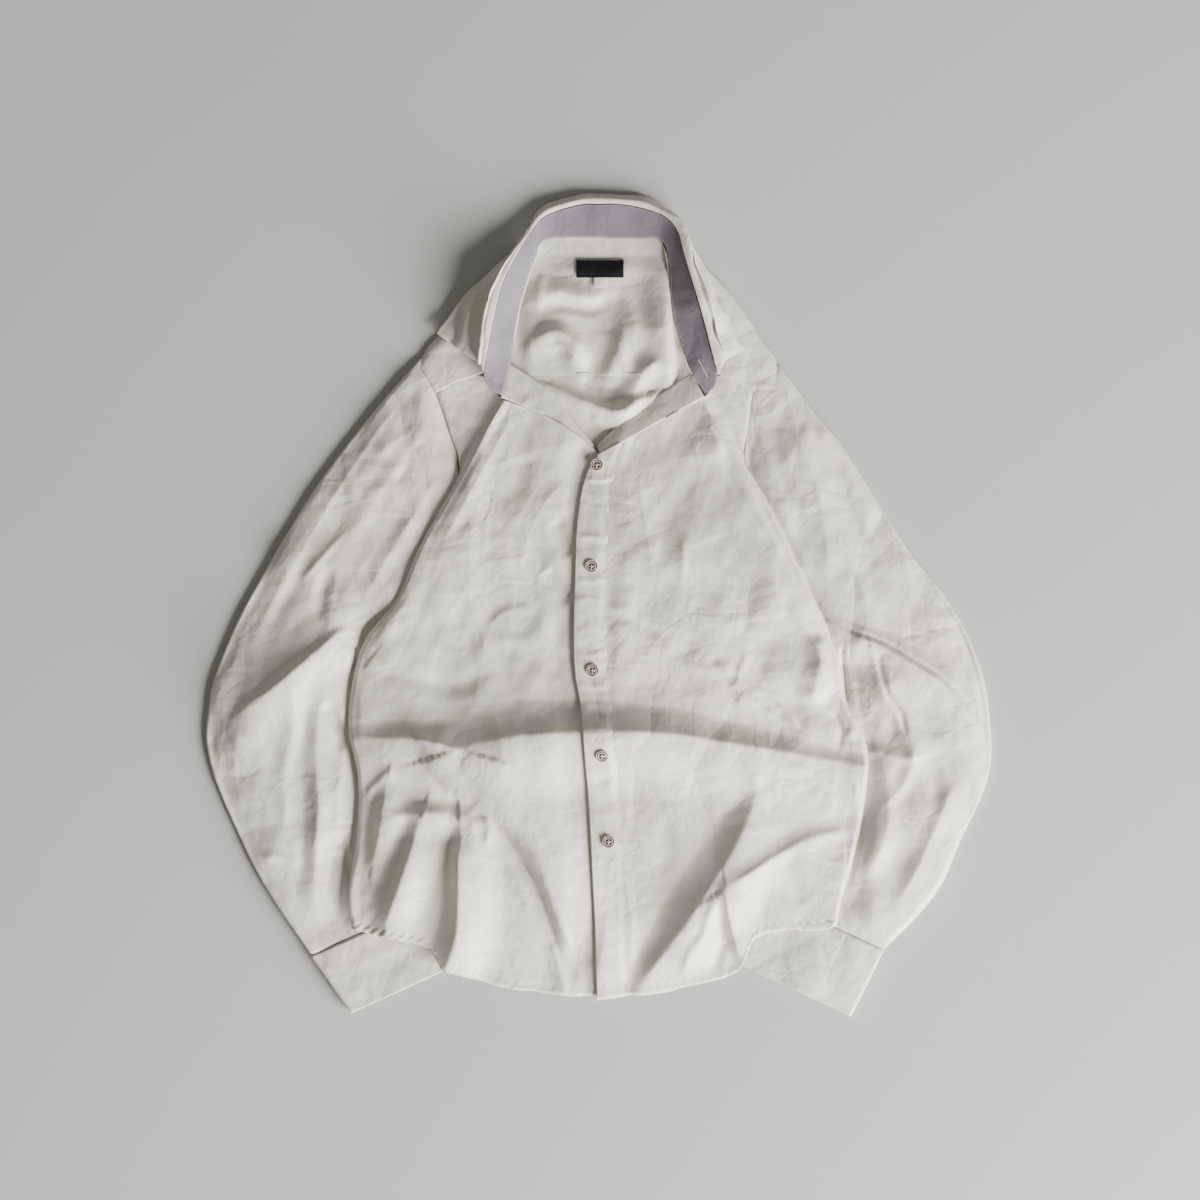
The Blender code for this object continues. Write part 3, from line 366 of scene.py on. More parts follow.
BUTTON_PLACES = ((-3, 132), (-8, 36), (-7, -62), (2, -142), (8, -224))
LABEL_BOX = ((-22.5, 310), (22.5, 328))
TAG_BOX = ((-6, 301), (6, 311.8))
FRONT_CREASES = (
    Crease(((-178, -124), (-152, -130), (-128, -139)), 2.4, 6, 14, SHARP),
    Crease(((-230, -189), (-212, -170), (-194, -152)), 3.0, 6, 14, SHARP),
    Crease(((-126, -190), (-110, -197), (-105, -212), (-110, -232)), 2.4, 12, 7, SHARP),
    Crease(((-144, -203), (-128, -205), (-116, -214)), 2.0, 7, 6, SHARP),
    Crease(((-58, -248), (-49, -274), (-38, -300), (-26, -330)), 1.6, 8, 7, SHARP),
    Crease(((-92, -226), (-84, -250), (-72, -272), (-66, -296)), 1.2, 9, 9, SHARP),
    Crease(((-116, -240), (-112, -280), (-114, -320)), 1.1, 10, 12, SHARP),
    Crease(((-46, -318), (-38, -346), (-34, -372)), 2.4, 10, 12, SHARP),
    Crease(((118, -268), (104, -290), (96, -315), (84, -331), (76, -356)), 2.4, 14, 7, SHARP),
    Crease(((112, -292), (114, -322), (104, -350)), -2.6, 10, 12, SOFT),
    Crease(((246, -214), (206, -219), (170, -236), (144, -252), (118, -268)), 1.8, 12, 6, SHARP),
    Crease(((170, -240), (184, -262), (190, -286)), -1.6, 14, 10, SOFT),
    Crease(((60, -200), (64, -232), (56, -262)), -1.2, 14, 14, SOFT),
    Crease(((24, -262), (30, -300), (28, -344)), 1.2, 8, 10, SHARP),
    Crease(((238, -160), (246, -190), (240, -232), (228, -270)), 1.8, 8, 8, SHARP),
    Crease(((172, -148), (204, -162), (226, -192)), 1.6, 8, 12, SHARP),
    Crease(((88, -40), (119, -68), (154, -99), (186, -119)), 2.2, 6, 12, SHARP),
    Crease(((206, -24), (208, -56), (198, -98)), 5.5, 22, 18, EDGE),
    Crease(((146, 106), (162, 78), (184, 36), (203, -2)), -3.5, 5, 7, SHARP),
    Crease(((140, -42), (132, -64), (126, -84)), 1.6, 8, 6, SHARP),
    Crease(((166, -92), (182, -108), (188, -118)), 2.0, 5, 7, SHARP),
    Crease(((228, -88), (240, -106), (236, -130)), 2.6, 7, 6, SHARP),
    Crease(((219, -100), (228, -118), (226, -138)), -2.4, 5, 6, SOFT),
    Crease(((78, 64), (79, 40), (77, 16)), 1.0, 5, 7, SHARP),
    Crease(((36, 128), (40, 96), (46, 56), (50, 20)), 0.9, 12, 10, SHARP),
    Crease(((100, 150), (84, 112), (66, 72), (60, 30)), -1.6, 20, 22, SOFT),
    Crease(((102, -48), (116, -68), (134, -88)), -2.0, 8, 12, SOFT),
    Crease(((150, 70), (176, 44), (204, 10)), -3.0, 12, 14, SOFT),
    Crease(((176, 4), (202, -36), (226, -92)), 2.6, 12, 16, SHARP),
    Crease(((8, -8), (32, -16), (60, -30)), -1.8, 8, 10, SOFT),
    Crease(((60, -48), (94, -60), (128, -58)), 1.2, 10, 12, SHARP),
    Crease(((-112, -26), (-92, -8), (-71, -5), (-55, -19), (-30, -50)), 1.7, 8, 14, SHARP),
    Crease(((-46, 80), (-36, 62), (-28, 44)), -2.4, 14, 12, SOFT),
    Crease(((-54, 32), (-38, 14), (-27, 0)), -2.4, 14, 12, SOFT),
    Crease(((-95, 197), (-124, 148), (-152, 99), (-186, 30), (-218, -34)), -2.6, 16, 13, SOFT),
    Crease(((-80, 186), (-104, 140), (-128, 96), (-152, 52)), 1.5, 10, 12, SHARP),
    Crease(((-60, 150), (-82, 104), (-98, 60)), -1.4, 14, 16, SOFT),
    Crease(((-30, 122), (-52, 96), (-70, 60), (-78, 20)), 1.0, 12, 12, SHARP),
    Crease(((-190, -4), (-164, -34), (-136, -50)), 1.8, 10, 14, SHARP),
    Crease(((-214, -54), (-180, -70), (-140, -76), (-104, -68)), -2.4, 14, 16, SOFT),
    Crease(((-92, -34), (-66, -52), (-36, -70)), -1.5, 10, 12, SOFT),
    Crease(((100, 190), (112, 150), (134, 110), (160, 70), (186, 30)), 1.8, 12, 16, SHARP),
    Crease(((120, 172), (122, 130), (142, 96)), -1.4, 10, 10, SOFT),
)
PLACKET_CREASES = (
    Crease(((-14, 119), (0, 117), (16, 121)), 0.9, 7, 4, SHARP),
    Crease(((-18, 96), (-4, 92), (12, 90)), 0.7, 5, 8, SHARP),
    Crease(((-22, 62), (-8, 64), (10, 60)), 0.9, 6, 6, SHARP),
    Crease(((-22, 24), (-8, 21), (8, 24)), 1.1, 8, 4, SHARP),
    Crease(((-24, 4), (-10, 6), (6, 2)), 0.8, 5, 7, SHARP),
    Crease(((-24, -26), (-8, -22), (8, -27)), 0.9, 7, 5, SHARP),
    Crease(((-24, -44), (-10, -47), (10, -43)), 0.9, 4, 7, SHARP),
    Crease(((-23, -76), (-8, -79), (10, -76)), 1.1, 8, 4, SHARP),
    Crease(((-18, -98), (-4, -94), (14, -99)), 0.8, 5, 6, SHARP),
    Crease(((-14, -156), (0, -159), (18, -155)), 1.0, 7, 4, SHARP),
    Crease(((-12, -196), (4, -199), (20, -194)), 0.8, 6, 6, SHARP),
    Crease(((-8, -240), (6, -243), (24, -238)), 0.9, 7, 5, SHARP),
    Crease(((-5, -290), (8, -284), (24, -292)), 0.7, 8, 8, SHARP),
)
LEFT_SLEEVE_CREASES = (
    Crease(((222, -17), (237, -24), (266, -35), (291, -49), (329, -74), (361, -112), (368, -138)),
           -3.6, 4, 4, SHARP),
    Crease(((262, -44), (272, -84), (285, -103), (291, -129)), -3.0, 4, 4, SHARP),
    Crease(((266, 76), (292, 46), (318, 10), (344, -30), (360, -80), (369, -134)), -1.8, 4, 5, SHARP),
    Crease(((246, 98), (276, 50), (306, 10), (330, -34)), -1.4, 12, 12, SOFT),
    Crease(((300, -130), (288, -170), (262, -196)), 2.0, 10, 12, SHARP),
    Crease(((338, -160), (322, -200), (300, -250), (276, -292)), 1.9, 12, 12, SHARP),
    Crease(((256, -120), (272, -170), (270, -220), (248, -262)), 1.6, 12, 14, SHARP),
    Crease(((229, -36), (232, -64), (235, -94)), -6.0, 3, 3, SHARP),
    Crease(((176, 190), (190, 150), (206, 110), (214, 60), (216, 10)), 1.8, 14, 14, SHARP),
    Crease(((160, 170), (170, 130), (184, 90), (196, 50)), -1.7, 12, 12, SOFT),
    Crease(((212, 140), (234, 96), (250, 50), (262, 10)), -1.5, 16, 16, SOFT),
    Crease(((206, 170), (222, 150), (246, 132)), 1.4, 8, 8, SHARP),
    Crease(((298, -130), (316, -160), (322, -200)), -1.5, 12, 12, SOFT),
    Crease(((240, -150), (262, -140), (290, -146), (320, -138)), 1.4, 10, 8, SHARP),
)
RIGHT_SLEEVE_CREASES = (
    Crease(((-262, -92), (-250, -112), (-240, -140)), -4.0, 9, 12, SOFT),
    Crease(((-232, -36), (-231, -52), (-233, -66)), -3.0, 4, 4, SHARP),
    Crease(((-246, -96), (-243, -140), (-248, -190), (-244, -250)), 2.2, 10, 12, SHARP),
    Crease(((-252, -210), (-240, -244), (-238, -290)), -2.6, 8, 9, SOFT),
    Crease(((-292, -60), (-290, -110), (-298, -160), (-296, -230)), 1.8, 12, 14, SHARP),
    Crease(((-340, -110), (-346, -150), (-338, -200)), 1.6, 14, 14, SHARP),
    Crease(((-322, -240), (-300, -240), (-284, -250)), 1.8, 8, 8, SHARP),
    Crease(((-165, 190), (-200, 140), (-236, 90), (-268, 40)), -1.9, 14, 14, SOFT),
    Crease(((-171, 172), (-200, 150), (-212, 138)), 1.6, 16, 12, SHARP),
    Crease(((-180, 206), (-224, 146), (-262, 86), (-296, 26), (-326, -30)), 1.8, 12, 14, SHARP),
    Crease(((-239, 71), (-272, 35), (-285, 19)), 1.5, 6, 6, SHARP),
    Crease(((-150, 130), (-176, 84), (-204, 40), (-226, 0)), 1.7, 12, 12, SHARP),
    Crease(((-256, 40), (-262, 12), (-270, -16)), -2.4, 10, 12, SOFT),
    Crease(((-280, 40), (-300, 0), (-322, -40)), -1.5, 14, 12, SOFT),
)
LEAF_CREASES = (
    Crease(((-112, 230), (-116, 268), (-106, 304), (-82, 342), (-58, 368)), (-3, -6.5, -7, -6, -3), 15, 10),
    Crease(((-134, 250), (-118, 292), (-88, 336)), 3.0, 6, 9, SHARP),
    Crease(((-160, 224), (-140, 250), (-128, 280)), -2.6, 8, 7, SHARP),
    Crease(((96, 330), (104, 292), (120, 262), (136, 238)), 3.0, 6, 7, SHARP),
    Crease(((86, 344), (95, 302), (106, 268), (118, 236)), -3.0, 5, 6, SHARP),
    Crease(((112, 300), (128, 272), (150, 236)), -2.4, 6, 6, SHARP),
)
NECK_CREASES = (
    Crease(((-60, 276), (-34, 283), (-10, 279), (10, 285)), (0, -2.5, -2.5, 0), 10, 8, SOFT),
    Crease(((-50, 240), (-38, 246), (-27, 239), (-22, 226)), 2.2, 5, 6, SHARP),
    Crease(((-4, 262), (14, 250), (24, 232), (24, 214)), 2.2, 10, 9, SHARP),
    Crease(((20, 304), (30, 278), (34, 250)), 1.6, 9, 12, SHARP),
    Crease(((-52, 316), (-58, 296), (-56, 276)), 1.8, 8, 8, SHARP),
    Crease(((-20, 214), (4, 204), (22, 206)), -1.8, 8, 7, SOFT),
    Crease(((-10, 178), (8, 172), (24, 168)), 2.0, 6, 8, SHARP),
    Crease(((44, 226), (58, 228), (76, 220)), 1.4, 5, 5, SHARP),
)


STEPS_PER_LEG = 4
RIDGE_BLUNTNESS = 0.002
RIDGE_LIFT = 0.045
RIDGE_POWER = 1.6
ROUND_POWER = 2.4
END_FADE = 0.2

NOISE_CELLS = 64
LINE_SETS = 9
LINE_SPREAD = 0.9
LINE_SIZES = (0.6, 1.5)
LINE_BEND = 0.22
BEND_SIZE = 1.7
LINE_BLUNTNESS = 0.004
PATCH_MIDDLE = 0.42
PATCH_CONTRAST = 1.1
PATCH_SIZE = 1.3
PATCH_SEED = 60


def smooth_step(value: np.ndarray | float) -> np.ndarray:
    """Rise smoothly from 0 at 0 to 1 at 1."""
    value = np.clip(value, 0.0, 1.0)
    return value * value * (3.0 - 2.0 * value)


class Span(NamedTuple):
    """A smooth rise from 0 to 1: where it starts and how far it takes."""

    start: float
    run: float

    def at(self, value: np.ndarray | float) -> np.ndarray:
        """Read the rise at a value."""
        return smooth_step((value - self.start) / self.run)


def through(points: np.ndarray | tuple | list, places: np.ndarray) -> np.ndarray:
    """Read a smooth curve through rows of numbers.

    Args:
        points: Rows that the curve passes through, on the first axis.
        places: Where to read it, counted in rows.

    Returns:
        One row for each place.
    """
    points = np.asarray(points, dtype=float)
    padded = np.concatenate([2 * points[:1] - points[1:2], points, 2 * points[-1:] - points[-2:-1]])
    index = np.minimum(np.asarray(places).astype(int), len(points) - 2)
    t = (np.asarray(places) - index).reshape((-1,) + (1,) * (points.ndim - 1))
    before, start, end, after = (padded[index + step] for step in range(4))
    return 0.5 * (
        2 * start + (end - before) * t
        + (2 * before - 5 * start + 4 * end - after) * t * t
        + (3 * start - before - 3 * end + after) * t ** 3
    )


def evenly(points: np.ndarray | tuple | list, count: int) -> np.ndarray:
    """Read a smooth curve through rows of numbers at evenly spaced places."""
    return through(points, np.linspace(0, len(points) - 1, count))


def plain_rows(table: tuple[NamedTuple, ...]) -> np.ndarray:
    """Lay out the numbers of each row of a table side by side."""
    return np.array([np.hstack(row) for row in table], dtype=float)


def link(name: str, data: bpy.types.ID) -> bpy.types.Object:
    """Put a mesh, a camera or a light in the scene."""
    made = bpy.data.objects.new(name, data)
    bpy.context.collection.objects.link(made)
    return made


def link_shape(name: str, shape: bmesh.types.BMesh) -> bpy.types.Object:
    """Put a shape in the scene as a mesh, and free it."""
    mesh = bpy.data.meshes.new(name)
    shape.to_mesh(mesh)
    shape.free()
    return link(name, mesh)


@dataclass(frozen=True)
class Relief:
    """A set of listed creases."""

    creases: tuple[Crease, ...]

    def height(self, x: np.ndarray, y: np.ndarray) -> np.ndarray:
        """Work out how far the creases lift the cloth.

        Args:
            x: Places across, in millimetres.
            y: Places along, in millimetres.

        Returns:
            The rise at each place.
        """
        total = np.zeros(x.shape)
        for crease in self.creases:
            path = np.asarray(crease.path, dtype=float)
            reach = max(np.max(crease.left), np.max(crease.right))
            close = ((x > path[:, 0].min() - reach) & (x < path[:, 0].max() + reach)
                     & (y > path[:, 1].min() - reach) & (y < path[:, 1].max() + reach))
            if close.any():
                total[close] += self.one(crease, path, x[close], y[close])
        return total

    @staticmethod
    def one(crease: Crease, path: np.ndarray, x: np.ndarray, y: np.ndarray) -> np.ndarray:
        """Work out the rise of one crease at the points near it.

        Args:
            crease: The crease.
            path: Its path as an array.
            x: Places across.
            y: Places along.

        Returns:
            The rise at each point.
        """
        path = evenly(path, STEPS_PER_LEG * (len(path) - 1) + 1)
        legs = np.diff(path, axis=0)
        lengths = np.hypot(legs[:, 0], legs[:, 1])
        nearest = np.full(x.shape, np.inf)
        side = np.zeros(x.shape)
        along = np.zeros(x.shape)
        done = 0.0
        for start, leg, length in zip(path[:-1], legs, lengths):
            step = leg / length
            run = np.clip((x - start[0]) * step[0] + (y - start[1]) * step[1], 0, length)
            off_x, off_y = x - start[0] - run * step[0], y - start[1] - run * step[1]
            gap = np.hypot(off_x, off_y)
            closer = gap < nearest
            nearest = np.where(closer, gap, nearest)
            side = np.where(closer, step[0] * off_y - step[1] * off_x, side)
            along = np.where(closer, (done + run) / lengths.sum(), along)
            done += length
        height, left, right = (np.interp(along, np.linspace(0, 1, np.size(value)), np.atleast_1d(value))
                               for value in (crease.height, crease.left, crease.right))
        share = np.clip(nearest / np.where(side > 0, left, right), 0, 1)
        steep = (side > 0) == (np.mean(crease.left) < np.mean(crease.right))
        sharp = (1 - np.sqrt(share * share + RIDGE_BLUNTNESS) + RIDGE_LIFT).clip(0, 1) ** RIDGE_POWER
        soft = 1 - smooth_step(share)
        profile = {
            Shape.SHARP: sharp,
            Shape.ROUND: np.where(steep, 1 - share ** ROUND_POWER, soft),
            Shape.EDGE: np.where(steep, sharp, soft),
        }.get(crease.shape, soft)
        if np.size(crease.height) == 1:
            profile = profile * smooth_step(along / END_FADE) * smooth_step((1 - along) / END_FADE)
        return height * profile


@dataclass(frozen=True)
class Crumple:
    """Straight pressed lines that cross at angles, with flat facets between them."""

    seed: int
    wavelength: float
    amplitude: float
    angle: float = 0.0

    def layer(self, x: np.ndarray, y: np.ndarray, size: float, seed: int) -> np.ndarray:
        """Read one layer of smooth noise between -1 and 1."""
        table = np.random.default_rng(seed).uniform(-1, 1, (NOISE_CELLS, NOISE_CELLS))
        across, along = x / size, y / size
        i, j = np.floor(across).astype(int), np.floor(along).astype(int)
        s, t = smooth_step(across - i), smooth_step(along - j)
        corners = [table[(i + a) % NOISE_CELLS, (j + b) % NOISE_CELLS] for a in (0, 1) for b in (0, 1)]
        return ((corners[0] * (1 - t) + corners[1] * t) * (1 - s)
                + (corners[2] * (1 - t) + corners[3] * t) * s)

    def swell(self, x: np.ndarray, y: np.ndarray) -> np.ndarray:
        """Work out the height of the broad, smooth waves at the given places."""
        turn = x * math.cos(self.angle) + y * math.sin(self.angle)
        return self.amplitude * self.layer(turn, y, self.wavelength, self.seed)

    def height(self, x: np.ndarray, y: np.ndarray) -> np.ndarray:
        """Work out the height of the facets at the given places."""
        rng = np.random.default_rng(self.seed)
        total = np.zeros(x.shape)
        for number in range(LINE_SETS):
            angle = self.angle + rng.normal(0, LINE_SPREAD)
            size = self.wavelength * rng.uniform(*LINE_SIZES)
            bend = LINE_BEND * self.layer(x, y, BEND_SIZE * size, self.seed + number)
            across = (x * math.cos(angle) + y * math.sin(angle)) / size + rng.uniform(0, 1) + bend
            wave = np.sqrt((2 * np.abs(across - np.rint(across))) ** 2 + LINE_BLUNTNESS)
            patch = self.layer(x, y, PATCH_SIZE * size, self.seed + PATCH_SEED + number)
            fade = smooth_step(PATCH_MIDDLE + PATCH_CONTRAST * patch)
            total += (wave - 0.5) * fade * size / self.wavelength
        return self.amplitude * total


class ClothGrid:
    """The outer face of one cloth piece, as a grid of places in millimetres."""

    def __init__(self, points: np.ndarray, outward: int, closed: bool = False) -> None:
        """Keep the grid.

        Args:
            points: Rows, columns and the three coordinates.
            outward: 1 where the outer face looks along columns crossed with rows, or -1.
            closed: Whether the last column joins the first.
        """
        self.points = np.asarray(points, dtype=float)
        self.outward = outward
        self.closed = closed

    @property
    def shape(self) -> tuple[int, int]:
        """Number of rows and columns."""
        return self.points.shape[:2]

    def normals(self) -> np.ndarray:
        """Work out a unit normal out of the outer face at each point."""
        if self.closed:
            wrapped = np.concatenate([self.points[:, -1:], self.points, self.points[:, :1]], axis=1)
            across = np.gradient(wrapped, axis=1)[:, 1:-1]
        else:
            across = np.gradient(self.points, axis=1)
        along = np.gradient(self.points, axis=0)
        normal = np.cross(across, along) * self.outward
        return normal / np.maximum(np.linalg.norm(normal, axis=-1, keepdims=True), LEAST_LENGTH)

    def distance(self, border: Border) -> np.ndarray:
        """Measure the way along the cloth from a border to every point."""
        axis = 0 if border in (Border.FIRST_ROW, Border.LAST_ROW) else 1
        steps = np.linalg.norm(np.diff(self.points, axis=axis), axis=-1)
        zero = np.zeros_like(np.take(steps, [0], axis=axis))
        run = np.concatenate([zero, np.cumsum(steps, axis=axis)], axis=axis)
        if border in (Border.LAST_ROW, Border.LAST_COLUMN):
            run = np.take(run, [-1], axis=axis) - run
        return run

    def push(self, amount: np.ndarray | float) -> None:
        """Move the points along their normals."""
        self.points = self.points + self.normals() * np.asarray(amount)[..., None]

    def line(self, border: Border, inset: float, start: float = 0.0, end: float = 1.0) -> np.ndarray:
        """Trace the line that runs a set distance inside a border.

        Args:
            border: The border that the line follows.
            inset: Its distance from the border, in millimetres.
            start: Where it starts, as a share of the border.
            end: Where it ends, as a share of the border.

        Returns:
            The points of the line with their normals, six numbers each.
        """
        run = self.distance(border)
        both = np.concatenate([self.points, self.normals()], axis=-1)
        if border in (Border.FIRST_ROW, Border.LAST_ROW):
            run, both = run.T, both.transpose(1, 0, 2)
        found = []
        for steps, values in zip(run, both):
            order = np.argsort(steps)
            found.append([np.interp(inset, steps[order], values[order, axis]) for axis in range(6)])
        count = len(found)
        return np.array(found[int(start * (count - 1)):int(end * (count - 1)) + 1])

    def cut(self) -> tuple[float, float, float]:
        """Measure the flat width, length and area of the cloth, in metres."""
        points = self.points
        if self.closed:
            points = np.concatenate([points, points[:, :1]], axis=1)
        across = np.linalg.norm(np.diff(points, axis=1), axis=-1).sum(axis=1).max()
        along = np.linalg.norm(np.diff(points, axis=0), axis=-1).sum(axis=0).max()
        first = points[1:, 1:] - points[:-1, :-1]
        second = points[1:, :-1] - points[:-1, 1:]
        area = np.linalg.norm(np.cross(first, second), axis=-1).sum() / 2
        return across * MM, along * MM, min(area * MM * MM, across * along * MM * MM)

    def to_object(self, name: str, wall: float) -> bpy.types.Object:
        """Make the piece, with a UV map in metres along the cloth and a thin wall.

        Args:
            name: The piece's name.
            wall: Its thickness in millimetres.

        Returns:
            The new object, linked to the scene.
        """
        points = self.points
        if self.closed:
            points = np.concatenate([points, points[:, :1]], axis=1)
        rows, columns = points.shape[:2]
        bm = bmesh.new()
        bmesh.ops.create_grid(bm, x_segments=columns - 1, y_segments=rows - 1, size=1.0, calc_uvs=True)
        mesh = bpy.data.meshes.new(name)
        bm.to_mesh(mesh)
        bm.free()
        flat = np.empty(len(mesh.vertices) * 3)
        mesh.vertices.foreach_get("co", flat)
        flat = flat.reshape(-1, 3)
        column = np.rint((flat[:, 0] + 1) / 2 * (columns - 1)).astype(int)
        row = np.rint((flat[:, 1] + 1) / 2 * (rows - 1)).astype(int)
        placed = (points[row, column] - np.array([*MIDDLE, 0.0])) * MM
        mesh.vertices.foreach_set("co", placed.ravel())
        self.lay_uv(mesh, points, row, column)
        bm = bmesh.new()
        bm.from_mesh(mesh)
        if self.closed:
            bmesh.ops.remove_doubles(bm, verts=bm.verts, dist=SEAM_MERGE)
        if self.outward < 0:
            bmesh.ops.reverse_faces(bm, faces=bm.faces)
        bm.to_mesh(mesh)
        bm.free()
        mesh.shade_smooth()
        made = link(name, mesh)
        thick = made.modifiers.new("Wall", "SOLIDIFY")
        thick.thickness = wall * MM
        thick.offset = -1.0
        return made

    @staticmethod
    def lay_uv(mesh: bpy.types.Mesh, points: np.ndarray, row: np.ndarray, column: np.ndarray) -> None:
        """Write the way along the cloth, in metres, into the mesh's UV map."""
        across = np.linalg.norm(np.diff(points, axis=1), axis=-1).mean(axis=0)
        along = np.linalg.norm(np.diff(points, axis=0), axis=-1).mean(axis=1)
        u = np.concatenate([[0.0], np.cumsum(across)]) * MM
        v = np.concatenate([[0.0], np.cumsum(along)]) * MM
        corner = np.empty(len(mesh.loops), dtype=np.int32)
        mesh.loops.foreach_get("vertex_index", corner)
        layer = mesh.uv_layers[0] if mesh.uv_layers else mesh.uv_layers.new(name="UVMap")
        laid = np.stack([u[column[corner]], v[row[corner]]], axis=-1)
        layer.data.foreach_set("uv", laid.ravel())


class Signal:
    """A shader socket that takes part in sums, as a number does."""

    def __init__(self, web: Web, socket: bpy.types.NodeSocket) -> None:
        """Keep the socket and the node web that it is in."""
        self.web = web
        self.socket = socket

    def combine(self, operation: str, first: Signal | float, second: Signal | float) -> Signal:
        """Add one Math node."""
        made = self.web.node("ShaderNodeMath", {"operation": operation}, {0: first, 1: second})
        return Signal(self.web, made.outputs[0])

    def __add__(self, other: Signal | float) -> Signal:
        """Add."""
        return self.combine("ADD", self, other)

    def __sub__(self, other: Signal | float) -> Signal:
        """Take away."""
        return self.combine("SUBTRACT", self, other)

    def __mul__(self, other: Signal | float) -> Signal:
        """Multiply."""
        return self.combine("MULTIPLY", self, other)


class Web:
    """The node web of one material."""

    def __init__(self, name: str) -> None:
        """Make the material with its Principled shader."""
        self.material = bpy.data.materials.new(name)
        self.material.use_nodes = True
        self.shader = self.material.node_tree.nodes["Principled BSDF"]

    def node(self, kind: str, settings: dict, inputs: dict) -> bpy.types.Node:
        """Add one node.

        Args:
            kind: The node's type.
            settings: Its properties, set first.
            inputs: Values or links of its sockets, by name or number.

        Returns:
            The node.
        """
        made = self.material.node_tree.nodes.new(kind)
        for key, value in settings.items():
            setattr(made, key, value)
        for key, value in inputs.items():
            self.feed(made.inputs[key], value)
        return made

    def feed(self, socket: bpy.types.NodeSocket, value: object) -> None:
        """Set a socket to a value, or link it."""
        if isinstance(value, Signal):
            value = value.socket
        if isinstance(value, bpy.types.NodeSocket):
            self.material.node_tree.links.new(value, socket)
        else:
            socket.default_value = value

    def noise(self, where: bpy.types.NodeSocket, scale: float, detail: float, rough: float = 0.5) -> Signal:
        """Add a noise texture and return its value."""
        made = self.node("ShaderNodeTexNoise", {}, {"Vector": where, "Scale": scale, "Detail": detail,
                                                    "Roughness": rough})
        return Signal(self, made.outputs["Fac"])

    def places(self, output: str = "Object", scale: tuple = (1.0, 1.0, 1.0)) -> bpy.types.NodeSocket:
        """Return object or UV coordinates, stretched by a scale."""
        source = self.node("ShaderNodeTexCoord", {}, {})
        made = self.node("ShaderNodeMapping", {}, {"Vector": source.outputs[output], "Scale": scale})
        return made.outputs["Vector"]

    def tint(self, factor: Signal, first: tuple, second: tuple) -> bpy.types.NodeSocket:
        """Mix two colours by a factor."""
        made = self.node("ShaderNodeMix", {"data_type": "RGBA"}, {0: factor, 6: first, 7: second})
        return made.outputs[2]

    def bump(self, height: Signal, strength: float, distance: float) -> bpy.types.NodeSocket:
        """Add a bump node and return its normal."""
        made = self.node("ShaderNodeBump", {}, {"Height": height, "Strength": strength, "Distance": distance})
        return made.outputs["Normal"]


class FacetLayer(NamedTuple):
    """One layer of pressed facets: its scale, its share of the slope and its stretch."""

    scale: float
    share: float
    stretch: tuple[float, float, float]


FACET_LAYERS = (
    FacetLayer(18.0, 0.8, (1.0, 0.62, 0.5)),
    FacetLayer(43.0, 0.7, (0.7, 1.0, 0.5)),
    FacetLayer(105.0, 0.45, (1.0, 0.8, 0.5)),
)
FACET_WARP = 0.6
FACET_BEND = 1.1
FACET_FADE = 0.35
FACET_FADE_FROM = 0.42
FACET_FADE_TO = 0.62
SLUB_WARP = 90.0
SLUB_WEFT = 70.0
CLOUD_SCALE = 5.0
CLOUD_WEIGHT = 1.5
CRINKLE_SCALE = 85.0
FINE_DETAIL = 4.0
FINE_ROUGHNESS = 0.6
SHINE_SPAN = 0.16
SHEEN_ROUGHNESS = 0.4
SWIRL_SCALE = 320.0
SWIRL_ROUGHNESS = 0.7
SWIRL_SHINE = 0.15
SWIRL_DEPTH = 0.00004
BUTTON_GLOSS = 0.3


